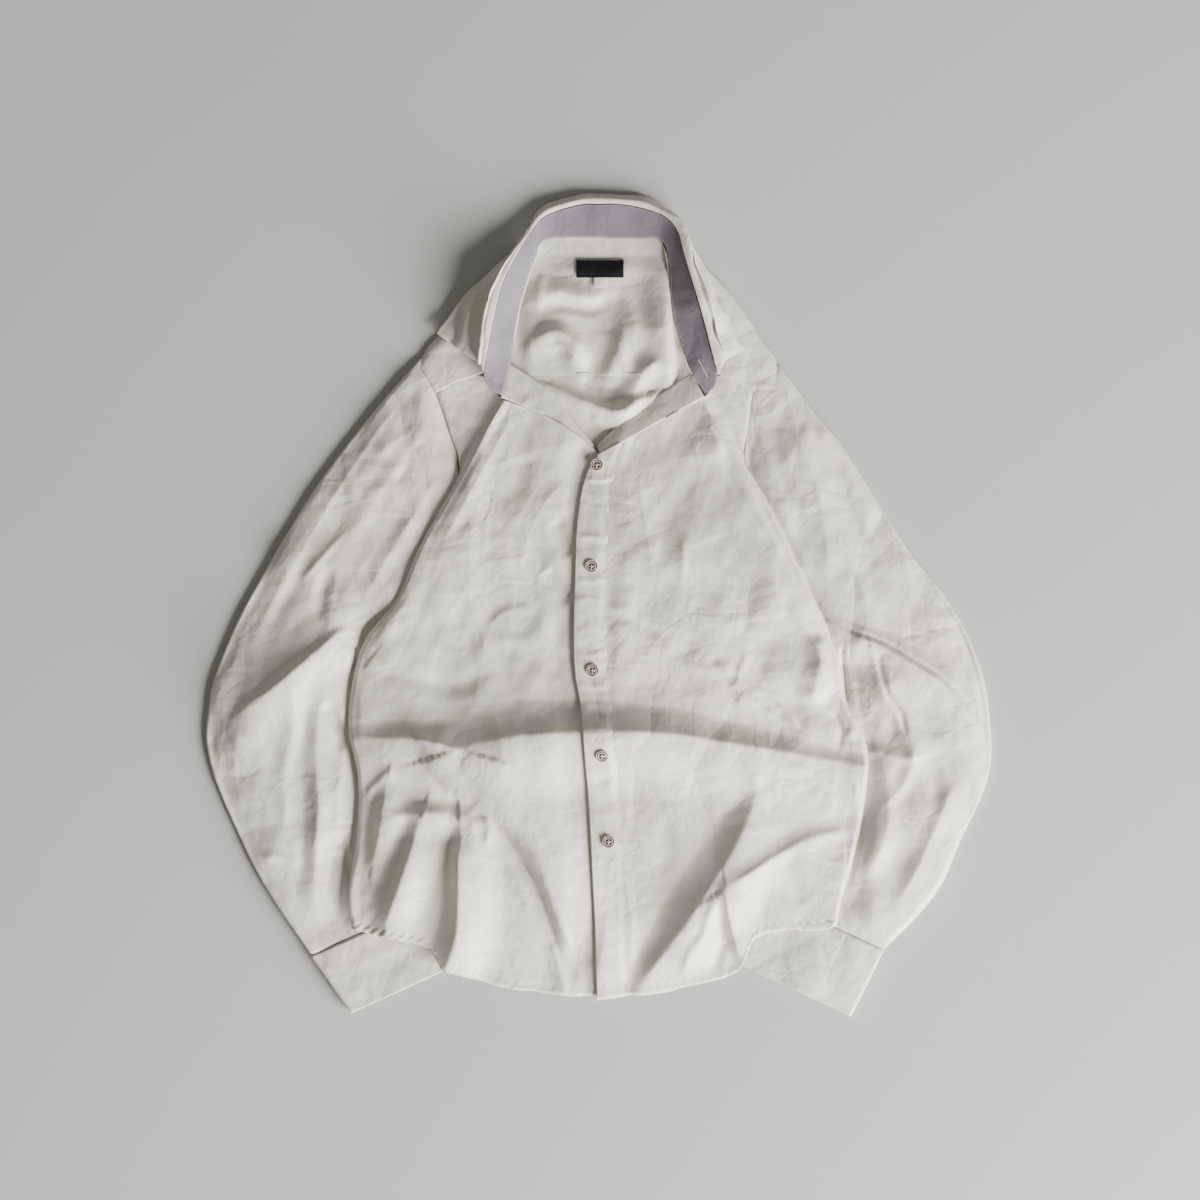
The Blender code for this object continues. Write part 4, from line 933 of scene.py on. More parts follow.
@dataclass(frozen=True)
class Weave:
    """A woven cloth finish."""

    name: str
    light: Colour
    dark: Colour
    roughness: float
    sheen: float
    specular: float = 0.35
    thread_scale: float = 1500.0
    thread_depth: float = 0.00006
    crinkle_depth: float = 0.0006
    facet_slope: float = 0.0

    def build(self) -> bpy.types.Material:
        """Make the material: slubby threads over a faint crinkle."""
        web = Web(self.name)
        place = web.places("Object")
        warp = web.noise(web.places("UV", (self.thread_scale, SLUB_WARP, 1.0)), 1.0, 2.0)
        weft = web.noise(web.places("UV", (SLUB_WEFT, self.thread_scale, 1.0)), 1.0, 2.0)
        threads = warp * 0.5 + weft * 0.5
        cloudy = web.noise(place, CLOUD_SCALE, FINE_DETAIL, FINE_ROUGHNESS)
        crinkle = web.noise(place, CRINKLE_SCALE, FINE_DETAIL, FINE_ROUGHNESS)
        mix = cloudy * CLOUD_WEIGHT + threads * 0.5 - 0.5
        web.feed(web.shader.inputs["Base Color"], web.tint(mix, self.dark, self.light))
        web.feed(web.shader.inputs["Roughness"], threads * SHINE_SPAN + (self.roughness - SHINE_SPAN / 2))
        web.feed(web.shader.inputs["Sheen Weight"], self.sheen)
        web.feed(web.shader.inputs["Sheen Roughness"], SHEEN_ROUGHNESS)
        web.feed(web.shader.inputs["Specular IOR Level"], self.specular)
        height = crinkle * self.crinkle_depth + threads * self.thread_depth
        if self.facet_slope:
            height = height + self.facets(web)
        web.feed(web.shader.inputs["Normal"], web.bump(height, 1.0, 1.0))
        return web.material

    def facets(self, web: Web) -> Signal:
        """Add the pressed facets of slept-on cloth, coarse and fine, each fading out in places."""
        total = None
        for scale, share, stretch in FACET_LAYERS:
            place = web.places("Object", stretch)
            warp = web.node("ShaderNodeTexNoise", {}, {"Vector": place, "Scale": scale * FACET_WARP,
                                                       "Detail": 2.0})
            bent = web.node("ShaderNodeVectorMath", {"operation": "MULTIPLY_ADD"},
                            {0: warp.outputs["Color"], 1: (FACET_BEND / scale,) * 3, 2: place})
            cells = web.node("ShaderNodeTexVoronoi", {"feature": "DISTANCE_TO_EDGE"},
                             {"Vector": bent.outputs["Vector"], "Scale": scale})
            fade = web.noise(place, scale * FACET_FADE, 1.0)
            limits = {"Value": fade, 1: FACET_FADE_FROM, 2: FACET_FADE_TO}
            fade = web.node("ShaderNodeMapRange", {}, limits).outputs[0]
            layer = Signal(web, cells.outputs["Distance"]) * (self.facet_slope * share / scale)
            layer = layer * Signal(web, fade)
            total = layer if total is None else total + layer
        return total


@dataclass(frozen=True)
class Pearl:
    """The finish of a moulded button: its pinkish body, or the near-black painted shade of its grooves and
    holes.
    """

    name: str
    light: Colour
    dark: Colour
    roughness: float

    def build(self) -> bpy.types.Material:
        """Make the material: swirls of two tones under a clear gloss."""
        web = Web(self.name)
        swirl = web.noise(web.places("Object"), SWIRL_SCALE, FINE_DETAIL, SWIRL_ROUGHNESS)
        web.feed(web.shader.inputs["Base Color"], web.tint(swirl, self.dark, self.light))
        web.feed(web.shader.inputs["Roughness"], swirl * SWIRL_SHINE + self.roughness)
        web.feed(web.shader.inputs["Coat Weight"], BUTTON_GLOSS)
        web.feed(web.shader.inputs["Normal"], web.bump(swirl * SWIRL_DEPTH, 1.0, 1.0))
        return web.material


COTTON = Weave("cotton_satin", (0.68, 0.64, 0.59, 1), (0.60, 0.60, 0.52, 1), 0.42, 0.1, facet_slope=0.13)
LAVENDER = Weave("collar_inner_twill", (0.21, 0.193, 0.226, 1), (0.156, 0.144, 0.172, 1), 0.6, 0.1,
                 facet_slope=0.1)
LABEL_BLACK = Weave("label_satin", (0.012, 0.012, 0.015, 1), (0.006, 0.006, 0.008, 1), 0.75, 0.0,
                    0.12, 2600.0, 0.00003, 0.0001)
TAG_WHITE = Weave("tag_tape", (0.76, 0.75, 0.72, 1), (0.68, 0.67, 0.64, 1), 0.5, 0.0,
                  0.4, 2600.0, 0.00003, 0.0001)
THREAD = Weave("sewing_thread", (0.62, 0.59, 0.54, 1), (0.54, 0.52, 0.465, 1), 0.6, 0.1, 0.3,
               4000.0, 0.00002, 0.0)
PEARL = Pearl("button_pearl", (0.60, 0.51, 0.465, 1), (0.39, 0.30, 0.265, 1), 0.22)
# Near-black finish for the button's groove rings and hole floors: painted shade in these recesses, not the
# button's own colour.
RECESS_SHADE = Pearl("button_recess_shade", (0.07, 0.045, 0.04, 1), (0.035, 0.022, 0.02, 1), 0.6)


class Wardrobe:
    """Makes each finish once and dresses pieces with it."""

    def __init__(self) -> None:
        """Start with no finishes made."""
        self.made: dict[str, bpy.types.Material] = {}

    def finish(self, finish: Weave | Pearl) -> bpy.types.Material:
        """Return the material of a finish, made on its first use."""
        if finish.name not in self.made:
            self.made[finish.name] = finish.build()
        return self.made[finish.name]

    def dress(self, piece: bpy.types.Object, finish: Weave | Pearl) -> None:
        """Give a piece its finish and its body."""
        piece.data.materials.clear()
        piece.data.materials.append(self.finish(finish))
        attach(piece, BODY)
        LOG.info("%s: %d faces", piece.name, len(piece.data.polygons))

    def sew(self, node: str, grid: ClothGrid, finish: Weave,
            wall: float = 0.55) -> None:
        """Make the cloth piece that stands for a node.

        Args:
            node: The solid's node.
            grid: The outer face.
            finish: The cloth.
            wall: Its thickness in millimetres.
        """
        piece = grid.to_object(node + "_cloth", wall)
        self.dress(piece, finish)
        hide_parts(node)
        width, length, area = grid.cut()


TUCK_HEIGHT = 7.0
TUCK_RISE = 4.0
BODY_DEPTH = 6.6
HALF_BODY = 235.0
CHEST_RISE = 9.0
HEM_DROP = 3.5
NECK_FLOOR = 3.4
TUCK_RISE_ALONG = Span(215, 45)
TUCK_RISE_ACROSS = Span(110, 40)
CHEST_TOP = Span(-150, 120)
CHEST_BOTTOM = Span(-380, 160)
HEM_DROP_ALONG = Span(290, 80)
FOLDS_ALONG = Span(-392, 60)
NECK_SIDE = Span(-79, 15)
NECK_TOP = Span(-334, 20)
NECK_BOTTOM = Span(130, 30)


def tuck_height(x: np.ndarray | float, y: np.ndarray | float) -> np.ndarray:
    """Height of the lower face of the cloth tucked under."""
    return TUCK_HEIGHT + TUCK_RISE * TUCK_RISE_ALONG.at(-y) * TUCK_RISE_ACROSS.at(np.abs(x))


def body_height(x: np.ndarray | float, y: np.ndarray | float) -> np.ndarray:
    """Height of the upper face of the fronts, with the large folds."""
    x, y = np.broadcast_arrays(np.asarray(x, dtype=float), np.asarray(y, dtype=float))
    across = np.clip(1 - (x / HALF_BODY) ** 2, 0, 1)
    chest = CHEST_RISE * across * CHEST_TOP.at(-y) * CHEST_BOTTOM.at(y)
    hem_drop = HEM_DROP * across * HEM_DROP_ALONG.at(-y)
    folds = Relief(BODY_FORMS).height(x, y)
    return tuck_height(x, y) + BODY_DEPTH + chest - hem_drop + FOLDS_ALONG.at(y) * folds


def neck_window(x: np.ndarray, y: np.ndarray) -> np.ndarray:
    """Share of the neck folds that the back and the yoke carry."""
    return NECK_SIDE.at(-np.abs(x)) * NECK_TOP.at(-y) * NECK_BOTTOM.at(y)


@dataclass
class Fronts:
    """Both fronts, the placket and the strips turned in at the open neck."""

    rows: int = 265
    top_columns: int = 140
    tuck_columns: int = 18
    placket_width: float = 31.0
    placket_columns: int = 26
    turn: float = 3.4
    turn_rows: int = 80
    turn_columns: int = 18
    lap_step: float = 2.6
    lap_run: float = 26.0
    hem_sections: float = 34
    hem_rise: Span = Span(26, 8)
    hem_turned: Span = Span(-5.8, 0.8)
    hem_step: float = 0.45
    hem_stitch: float = 5.2
    rope_pitch: float = 8.4
    rope_slant: float = 8.0
    rope_near: Span = Span(-9.0, 3.0)
    rope_strong: Span = Span(110, 30)
    rope_depth: float = 0.5
    sway_near: Span = Span(-12, 12)
    roll_share: float = 0.35
    roll_lift: float = 0.6
    fold_calm: Span = Span(0, 8)
    placket_calm: Span = Span(0, 12)
    least_crumple: float = 0.25
    belly: Span = Span(-150, 60)
    belly_crumple: float = 0.45
    placket_end: Span = Span(0.7, 0.3)
    placket_start: Span = Span(0, 0.1)
    strip: ClothGrid | None = None

    def grid(self, table: tuple[FrontRow, ...], rise: tuple[float, ...], lap_drop: float, outward: int,
             seed: int) -> ClothGrid:
        """Work out the outer face of one front.

        Args:
            table: Its sections.
            rise: The rise of its hem over the cuff.
            lap_drop: How far its placket lies below the other one.
            outward: The side that is its outer face.
            seed: The seed of its crumple.

        Returns:
            The grid, from the shoulder to the hem and from the placket to the side seam.
        """
        grid = np.zeros((self.rows, self.top_columns + self.tuck_columns, 3))
        for index, row in enumerate(evenly(plain_rows(table), self.rows)):
            place = index / (self.rows - 1) * self.hem_sections
            near_hem = float(self.hem_rise.at(place))
            grid[index] = self.section(row, rise, near_hem, lap_drop)
        made = ClothGrid(grid, outward)
        self.crumple(made, seed)
        return made

    def section(self, row: np.ndarray, rise: tuple[float, ...], near_hem: float,
                lap_drop: float) -> np.ndarray:
        """Work out one section across a front.

        Args:
            row: The numbers of a FrontRow.
            rise: The rise of the hem over the cuff, and where it starts, is full, falls and ends.
            near_hem: Share of that rise at this section.
            lap_drop: How far the placket lies below the other one.

        Returns:
            The points from the placket over the fold to the side seam.
        """
        edge, fold, tuck, seam, seam_z, bow = row[0:2], row[2:4], row[4:6], row[6:8], row[8], row[9]
        length = np.hypot(*(fold - edge))
        shares = np.linspace(0, 1, self.top_columns)
        places = edge + (fold - edge) / length * (length - self.turn) * shares[:, None]
        places[:, 1] += bow * np.sin(math.pi * shares)
        height, start, full, falling, end = rise
        across = np.abs(places[:, 0])
        climb = Span(start, full - start).at(across)
        places[:, 1] += near_hem * height * climb * (1 - Span(falling, end - falling).at(across))
        lapped = smooth_step((self.placket_width + self.lap_run - shares * length) / self.lap_run)
        heights = body_height(places[:, 0], places[:, 1]) - lap_drop * lapped
        under_z = min(float(tuck_height(*tuck)), heights[-1] - BODY_DEPTH)
        low_z = max(under_z, seam_z)
        inward = fold + (tuck - fold) * self.roll_share
        stations = np.array([
            (*places[-1], heights[-1]),
            (*fold, (heights[-1] + low_z) / 2 + self.roll_lift),
            (*inward, low_z + 0.1),
            (*tuck, low_z),
            (*seam, seam_z),
        ])
        curve = evenly(stations, self.tuck_columns + 1)[1:]
        curve[:, 2] = np.maximum(curve[:, 2], 0.0)
        return np.concatenate([np.column_stack([places, heights]), curve])

    def crumple(self, grid: ClothGrid, seed: int) -> None:
        """Press the creases and the fine crumple into a front."""
        top = self.top_columns
        x, y = grid.points[:, :top, 0], grid.points[:, :top, 1]
        run = grid.distance(Border.FIRST_COLUMN)[:, :top]
        turn = grid.distance(Border.LAST_COLUMN)[:, :top]
        turn = turn - turn[:, -1:]
        calm = self.fold_calm.at(turn) * (1 - self.least_crumple) + self.least_crumple
        rise = Relief(FRONT_CREASES).height(x, y) * calm
        fine = Crumple(seed, 62.0, 1.9, 0.3).height(x, y) + Crumple(seed + 20, 24.0, 0.36).height(x, y)
        fine = fine + Crumple(seed + 40, 95.0, 2.4).swell(x, y) + Crumple(seed + 41, 38.0, 0.7).swell(x, y)
        crisp = self.placket_calm.at(run - self.placket_width) * (1 - self.least_crumple) + self.least_crumple
        rise += fine * calm * crisp * (self.belly_crumple + (1 - self.belly_crumple) * self.belly.at(y))
        grid.points[:, :top, 2] += rise
        self.press_hem(grid, seed)

    def press_hem(self, grid: ClothGrid, seed: int) -> None:
        """Turn the hem up: a step, rope-like puckers and a slightly wavy edge."""
        hem = grid.distance(Border.LAST_ROW)
        run = grid.distance(Border.FIRST_COLUMN)
        strength = 0.85 + 0.75 * self.rope_strong.at(np.abs(grid.points[..., 0]))
        turns = run / self.rope_pitch + hem / self.rope_slant
        rope = np.sin(2 * math.pi * turns + 1.4 * np.sin(run / 23.0 + seed))
        pull = self.rope_near.at(-hem) * strength
        step = self.hem_step * self.hem_turned.at(-hem)
        shown = np.arange(grid.shape[1]) < self.top_columns
        grid.push((step + self.rope_depth * rope * pull) * shown)
        sway = np.sin(run / 9.5 + seed) * 0.7 + np.sin(run / 4.1) * 0.3
        grid.points[..., 1] += sway * self.sway_near.at(-hem) * shown

    def build(self, wardrobe: Wardrobe, stitches: Stitches) -> None:
        """Make the fronts, the placket and the neck turns."""
        left = self.grid(LEFT_FRONT, LEFT_HEM_RISE, 0.0, -1, 11)
        right = self.grid(RIGHT_FRONT, RIGHT_HEM_RISE, self.lap_step, 1, 31)
        wardrobe.sew("front_left", left, COTTON)
        wardrobe.sew("front_right", right, COTTON)
        self.strip = strip = self.placket(left)
        wardrobe.sew("placket", strip, COTTON, 0.3)
        stitches.run("placket", strip, Border.FIRST_COLUMN, 3.4)
        stitches.run("placket", strip, Border.LAST_COLUMN, 3.0)
        hem = self.top_columns / (self.top_columns + self.tuck_columns)
        stitches.run("front_left", left, Border.LAST_ROW, self.hem_stitch, 0.13, hem)
        stitches.run("front_right", right, Border.LAST_ROW, self.hem_stitch, 0.16, hem)
        self.turns(wardrobe, stitches)

    def placket(self, left: ClothGrid) -> ClothGrid:
        """Work out the folded strip that carries the buttonholes."""
        places = np.linspace(0, self.placket_width, self.placket_columns)
        run = left.distance(Border.FIRST_COLUMN)
        strip = ClothGrid(np.array([
            np.column_stack([np.interp(places, steps, row[:, axis]) for axis in range(3)])
            for steps, row in zip(run, left.points)
        ]), -1)
        x, y = strip.points[..., 0], strip.points[..., 1]
        across = strip.distance(Border.FIRST_COLUMN) / self.placket_width
        inside = np.sin(math.pi * np.clip(across, 0, 1))
        amount = 0.6 + 0.5 * inside - 0.8 * self.placket_end.at(across)
        amount = amount + Crumple(77, 26.0, 0.7, 1.5).height(x, y) * inside
        amount = amount + Relief(PLACKET_CREASES).height(x, y) * self.placket_start.at(across)
        strip.push(amount)
        return strip

    def turns(self, wardrobe: Wardrobe, stitches: Stitches) -> None:
        """Make the strips of both fronts that are turned in at the open neck."""
        for side, line, inner, drop, end_z, outward, seed in (
            ("left", LEFT_TURN_LINE, LEFT_TURN_INNER, 0.0, 7.5, 1, 91),
            ("right", RIGHT_TURN_LINE, RIGHT_TURN_INNER, 3.0, 6.5, -1, 92),
        ):
            outer, inside = evenly(line, self.turn_rows), evenly(inner, self.turn_rows)
            share = np.linspace(0, 1, self.turn_columns)[None, :, None]
            flat = outer[:, None] + (inside - outer)[:, None] * share
            high = body_height(outer[:, 0], outer[:, 1]) - drop * np.linspace(0, 1, self.turn_rows) ** 2
            height = high[:, None] + (end_z - high)[:, None] * share[..., 0] ** 1.3
            grid = ClothGrid(np.concatenate([flat, height[..., None]], axis=-1), outward)
            grid.push(Crumple(seed, 24.0, 0.4).height(flat[..., 0], flat[..., 1]))
            wardrobe.sew("neck_turn_" + side, grid, COTTON)
            stitches.run("neck_turn_" + side, grid, Border.LAST_COLUMN, 2.0)


@dataclass
class BackAndYoke:
    """The back and the yoke, which lie on the surface and show their inner faces at the neck."""

    rows: int = 190
    columns: int = 130
    sections: int = 26
    seam_y: float = 220.6
    seam_lift: float = 8.5
    yoke_rows: int = 75
    yoke_columns: int = 84
    yoke_stations: int = 8
    armhole_reach: float = 1.4
    front_lap: float = 3.2
    back_lap: float = 5.0
    lapped: Span = Span(6.6, 1.4)
    hem_dip: Span = Span(18, 8.0)
    fold_opens: Span = Span(0, 3.0)
    top_face: Span = Span(NECK_FLOOR, 1.5)
    off_floor: Span = Span(4.0, 1.5)
    past_shoulder: Span = Span(-92, 10)
    back_seam: Span = Span(0, 1.2)
    seam_ridge: Span = Span(0, 1.6)

    def build(self, wardrobe: Wardrobe, stitches: Stitches) -> None:
        """Make both pieces."""
        wardrobe.sew("back", self.back(), COTTON)
        yoke = self.yoke()
        wardrobe.sew("yoke", yoke, COTTON)
        stitches.run("yoke", yoke, Border.LAST_COLUMN, 1.6)

    @staticmethod
    def side(armhole: tuple[Place, ...], table: tuple[FrontRow, ...], hem: tuple[Place, ...],
             count: int) -> np.ndarray:
        """Trace one side edge of the back, just inside the front's seam."""
        seam = [(row.seam[0] - math.copysign(SIDE_INSET, row.seam[0]), row.seam[1]) for row in table[4:]]
        return evenly([*armhole, *seam, *hem], count)

    def back(self) -> ClothGrid:
        """Work out the back from the yoke seam to the hem."""
        left = self.side(BACK_ARMHOLE_LEFT, LEFT_FRONT, BACK_HEM_LEFT, self.rows)
        right = self.side(BACK_ARMHOLE_RIGHT, RIGHT_FRONT, BACK_HEM_RIGHT, self.rows)
        index = np.linspace(0, self.sections, self.rows)[:, None]
        lift = self.seam_lift * np.clip(1 - index / 5.0, 0, None) ** 2
        dip = -BACK_HEM_DIP * self.hem_dip.at(index)
        share = np.linspace(0, 1, self.columns)[None, :]
        x = right[:, :1] + (left[:, :1] - right[:, :1]) * share
        y = right[:, 1:] + (left[:, 1:] - right[:, 1:]) * share
        y = np.minimum(y + (lift + dip) * np.sin(math.pi * share) ** 0.7, self.seam_y)
        return ClothGrid(np.stack([x, y, self.floor(x, y)], axis=-1), 1)

    @staticmethod
    def floor(x: np.ndarray, y: np.ndarray) -> np.ndarray:
        """Height of the lower face of the cloth seen in the open neck."""
        window = neck_window(x, y)
        folds = Relief(NECK_FORMS + NECK_CREASES).height(x, y) + NECK_FLOOR
        folds = folds + Crumple(51, 44.0, 0.8).height(x, y) + Crumple(52, 70.0, 0.6).swell(x, y)
        return np.maximum(window * folds, 0.0)

    def yoke(self) -> ClothGrid:
        """Work out the yoke, round both shoulder folds."""
        right = self.half(RIGHT_YOKE)[::-1]
        left = self.half(LEFT_YOKE)[1:]
        grid = ClothGrid(np.concatenate([right, left]), 1)
        for last, inner in ((0, 3), (-1, -4)):
            out = grid.points[last] - grid.points[inner]
            grid.points[last] += out / np.linalg.norm(out, axis=-1, keepdims=True) * self.armhole_reach
        x, y = grid.points[..., 0], grid.points[..., 1]
        top = self.top_face.at(grid.points[..., 2])
        grid.push(top * Crumple(61, 34.0, 0.5).height(x, y))
        grid.points[..., 2] = np.maximum(grid.points[..., 2], 0.0)
        return grid

    def half(self, table: tuple[YokeRow, ...]) -> np.ndarray:
        """Work out half of the yoke, from the centre line out to the armhole."""
        station = np.linspace(0, self.yoke_stations, self.yoke_columns)
        lapping = self.lapped.at(station)
        grid = []
        for row in evenly(plain_rows(table), self.yoke_rows):
            back, fold, neck, fold_z, neck_z = row[0:2], row[2:4], row[4:6], max(row[6], 0.0), row[7]
            folded = float(self.fold_opens.at(fold_z))
            share = np.linspace(0, 1, 5)
            stations = np.zeros((self.yoke_stations + 1, 3))
            stations[:5, :2] = back + (fold - back) * share[:, None] * 0.95
            stations[:5, 2] = fold_z * share ** 6 * 0.3
            stations[5] = (*fold, fold_z * (0.95 + 0.05 * folded))
            for number, along, more in ((6, 0.18, 0.72), (7, 0.6, 0.4)):
                stations[number, :2] = fold + (neck - fold) * along
                stations[number, 2] = fold_z + (neck_z - fold_z) * (along + more * folded)
            stations[-1] = (*neck, neck_z)
            section = evenly(stations, self.yoke_columns)
            lap = (neck - fold) / np.hypot(*(neck - fold)) * self.front_lap
            section[:, :2] += lap * lapping[:, None]
            section[:, 2] += 0.6 * lapping * folded
            seam = self.past_shoulder.at(-abs(back[0]))
            section[:, 1] -= self.back_lap * (1 - self.back_seam.at(station)) * seam
            flat = 1 - self.off_floor.at(station) * folded
            section[:, 2] += flat * self.floor(section[:, 0], section[:, 1])
            section[:, 2] += 0.15 * (1 - self.seam_ridge.at(station)) * seam
            section[0, 2] -= 0.6 * seam
            grid.append(section)
        result = np.array(grid)
        result[..., 2] = np.maximum(result[..., 2], 0.0)
        return result


@dataclass
class Sleeve:
    """One sleeve with its cuff, flattened on the surface."""

    side: str
    table: tuple[SleeveRow, ...]
    armhole: tuple[Place, ...]
    forms: tuple[Crease, ...]
    creases: tuple[Crease, ...]
    cuff: tuple[SleeveRow, ...]
    outward: int
    seed: int
    rows: int = 225
    cuff_rows: int = 40
    upper_columns: int = 96
    lower_columns: int = 26
    sections: int = 24
    bow_points: int = 41
    crowding: float = 0.75
    trim: float = 0.15
    depth: float = 5.0
    cuff_swell: float = 0.4
    cuff_lift: float = 3.0
    fold_calm: Span = Span(0, 0.12)
    end_calm: Span = Span(0, 0.03)
    armhole_run: float = 5.0
    to_cuff: Span = Span(-5.4, 4.4)
    to_calm: Span = Span(-4.6, 3.6)
    edge_swell: float = 0.7
    tail_step: float = 2.0
    tail_drop: float = 0.4
    tail_above: float = 3.0

    def ring(self, row: np.ndarray, bottom: float, depth: float, bow: np.ndarray | None,
             calm: float, forms: Relief) -> np.ndarray:
        """Work out one ring round the flattened tube.

        Args:
            row: Outer fold, inner fold, puff and reach.
            bottom: Height of the lower face.
            depth: Thickness of the flattened tube at its folds.
            bow: The curve of the armhole seam at this section, if any.
            calm: Share of the large folds here.
            forms: The large folds.

        Returns:
            The points over the top from the outer fold, and back underneath.
        """
        outer, inner, puff, reach = row[0:2], row[2:4], row[4], row[5]
        width = np.hypot(*(inner - outer))
        radius = depth / 2
        halves = []
        for count in (self.upper_columns, self.lower_columns):
            share = np.linspace(0, 1, count)
            spread = self.crowding * (0.5 - 0.5 * np.cos(math.pi * share)) + (1 - self.crowding) * share
            run = radius * self.trim + (width - radius * 2 * self.trim) * spread
            places = outer + (inner - outer) / width * run[:, None]
            if bow is not None:
                knots = np.linspace(0, 1, self.bow_points)
                places = places + np.column_stack([np.interp(spread, knots, bow[:, axis]) for axis in (0, 1)])
            rim = 1 - np.minimum(1, np.minimum(run, width - run) / radius)
            halves.append((places, spread, np.sqrt(np.clip(1 - rim ** 2, 0, 1))))
        (places, spread, rim), (low_places, _, low_rim) = halves
        swell = puff * self.arch(spread, reach) ** 0.8
        rise = forms.height(places[:, 0], places[:, 1]) * calm * self.arch(spread, 0.9 * max(1.0, reach))
        upper = np.column_stack([places, bottom + radius + radius * rim + swell + rise])
        lower = np.column_stack([low_places, bottom + radius - radius * low_rim])
        return np.concatenate([upper, lower[::-1]])

    @staticmethod
    def arch(spread: np.ndarray, reach: float) -> np.ndarray:
        """Rise and fall over a share of the width."""
        return np.clip(np.sin(math.pi * np.minimum(1, spread / reach)), 0, None)

    def inside(self) -> np.ndarray:
        """Share of the crumple over the upper face, which leaves its two folds calm."""
        share = np.linspace(0, 1, self.upper_columns)
        return self.fold_calm.at(share) * self.fold_calm.at(1 - share)

    def grid(self) -> ClothGrid:
        """Work out the outer face of the sleeve."""
        curve = evenly(self.armhole, self.bow_points)
        bow = curve - np.linspace(curve[0], curve[-1], self.bow_points)
        forms = Relief(self.forms)
        rings = []
        for number, row in enumerate(evenly(plain_rows(self.table), self.rows)):
            index = number * (self.sections - 1) / (self.rows - 1)
            fade = max(0.0, 1 - index / self.armhole_run) ** 1.5
            end = float(self.to_cuff.at(index - self.sections))
            calm = 1 - float(self.to_calm.at(index - self.sections))
            depth = self.depth + self.cuff_swell * end
            rings.append(self.ring(row, self.cuff_lift * end, depth, bow * fade, calm, forms))
        grid = ClothGrid(np.array(rings), self.outward, closed=True)
        self.crumple(grid)
        self.add_tail(grid)
        return grid

    def add_tail(self, grid: ClothGrid) -> None:
        """Lead the sleeve on under the front, past the armhole seam."""
        first = grid.points[0]
        inward = first - grid.points[4]
        inward[:, 2] = 0.0
        inward /= np.linalg.norm(inward, axis=-1, keepdims=True)
        tails = []
        for step in (3, 2, 1):
            tail = first + inward * self.tail_step * step
            tail[:, 2] = first[:, 2] - self.tail_drop * step * (first[:, 2] > self.tail_above)
            tails.append(tail)
        grid.points = np.concatenate([np.array(tails), grid.points])

    def crumple(self, grid: ClothGrid) -> None:
        """Press the creases and the fine crumple into the upper face."""
        top = self.upper_columns
        x, y = grid.points[:, :top, 0], grid.points[:, :top, 1]
        rows = np.linspace(0, 1, grid.shape[0])[:, None]
        ends = self.end_calm.at(rows) * self.end_calm.at(1 - rows)
        rise = Relief(self.creases).height(x, y)
        rise += Crumple(self.seed, 62.0, 1.6, 0.5 * self.outward).height(x, y)
        rise += Crumple(self.seed + 20, 24.0, 0.3).height(x, y)
        broad = Crumple(self.seed + 30, 80.0, 2.6).swell(x, y)
        rise += broad + Crumple(self.seed + 31, 36.0, 0.8).swell(x, y)
        grid.points[:, :top, 2] += rise * (self.inside() * ends)

    def cuff_grid(self) -> ClothGrid:
        """Work out the outer face of the cuff, a flattened band."""
        depth = self.depth + self.cuff_swell
        rings = [self.ring(row, self.cuff_lift, depth, None, 0.0, Relief(()))
                 for row in evenly(plain_rows(self.cuff), self.cuff_rows)]
        grid = ClothGrid(np.array(rings), self.outward, closed=True)
        top = self.upper_columns
        x, y = grid.points[:, :top, 0], grid.points[:, :top, 1]
        grid.points[:, :top, 2] += Crumple(self.seed + 40, 40.0, 0.6).height(x, y) * self.inside()
        grid.push(self.edge_swell)
        grid.points[0] += (grid.points[0] - grid.points[6]) / 7.0
        return grid

    def build(self, wardrobe: Wardrobe, stitches: Stitches) -> None:
        """Make the sleeve and the cuff."""
        cuff, name = self.cuff_grid(), "cuff_" + self.side
        wardrobe.sew("sleeve_" + self.side, self.grid(), COTTON)
        wardrobe.sew(name, cuff, COTTON)
        top = self.upper_columns / (self.upper_columns + self.lower_columns)
        stitches.run(name, cuff, Border.FIRST_ROW, 2.2, 0.05, top - 0.05)
        stitches.run(name, cuff, Border.LAST_ROW, 5.0, 0.05, top - 0.05)


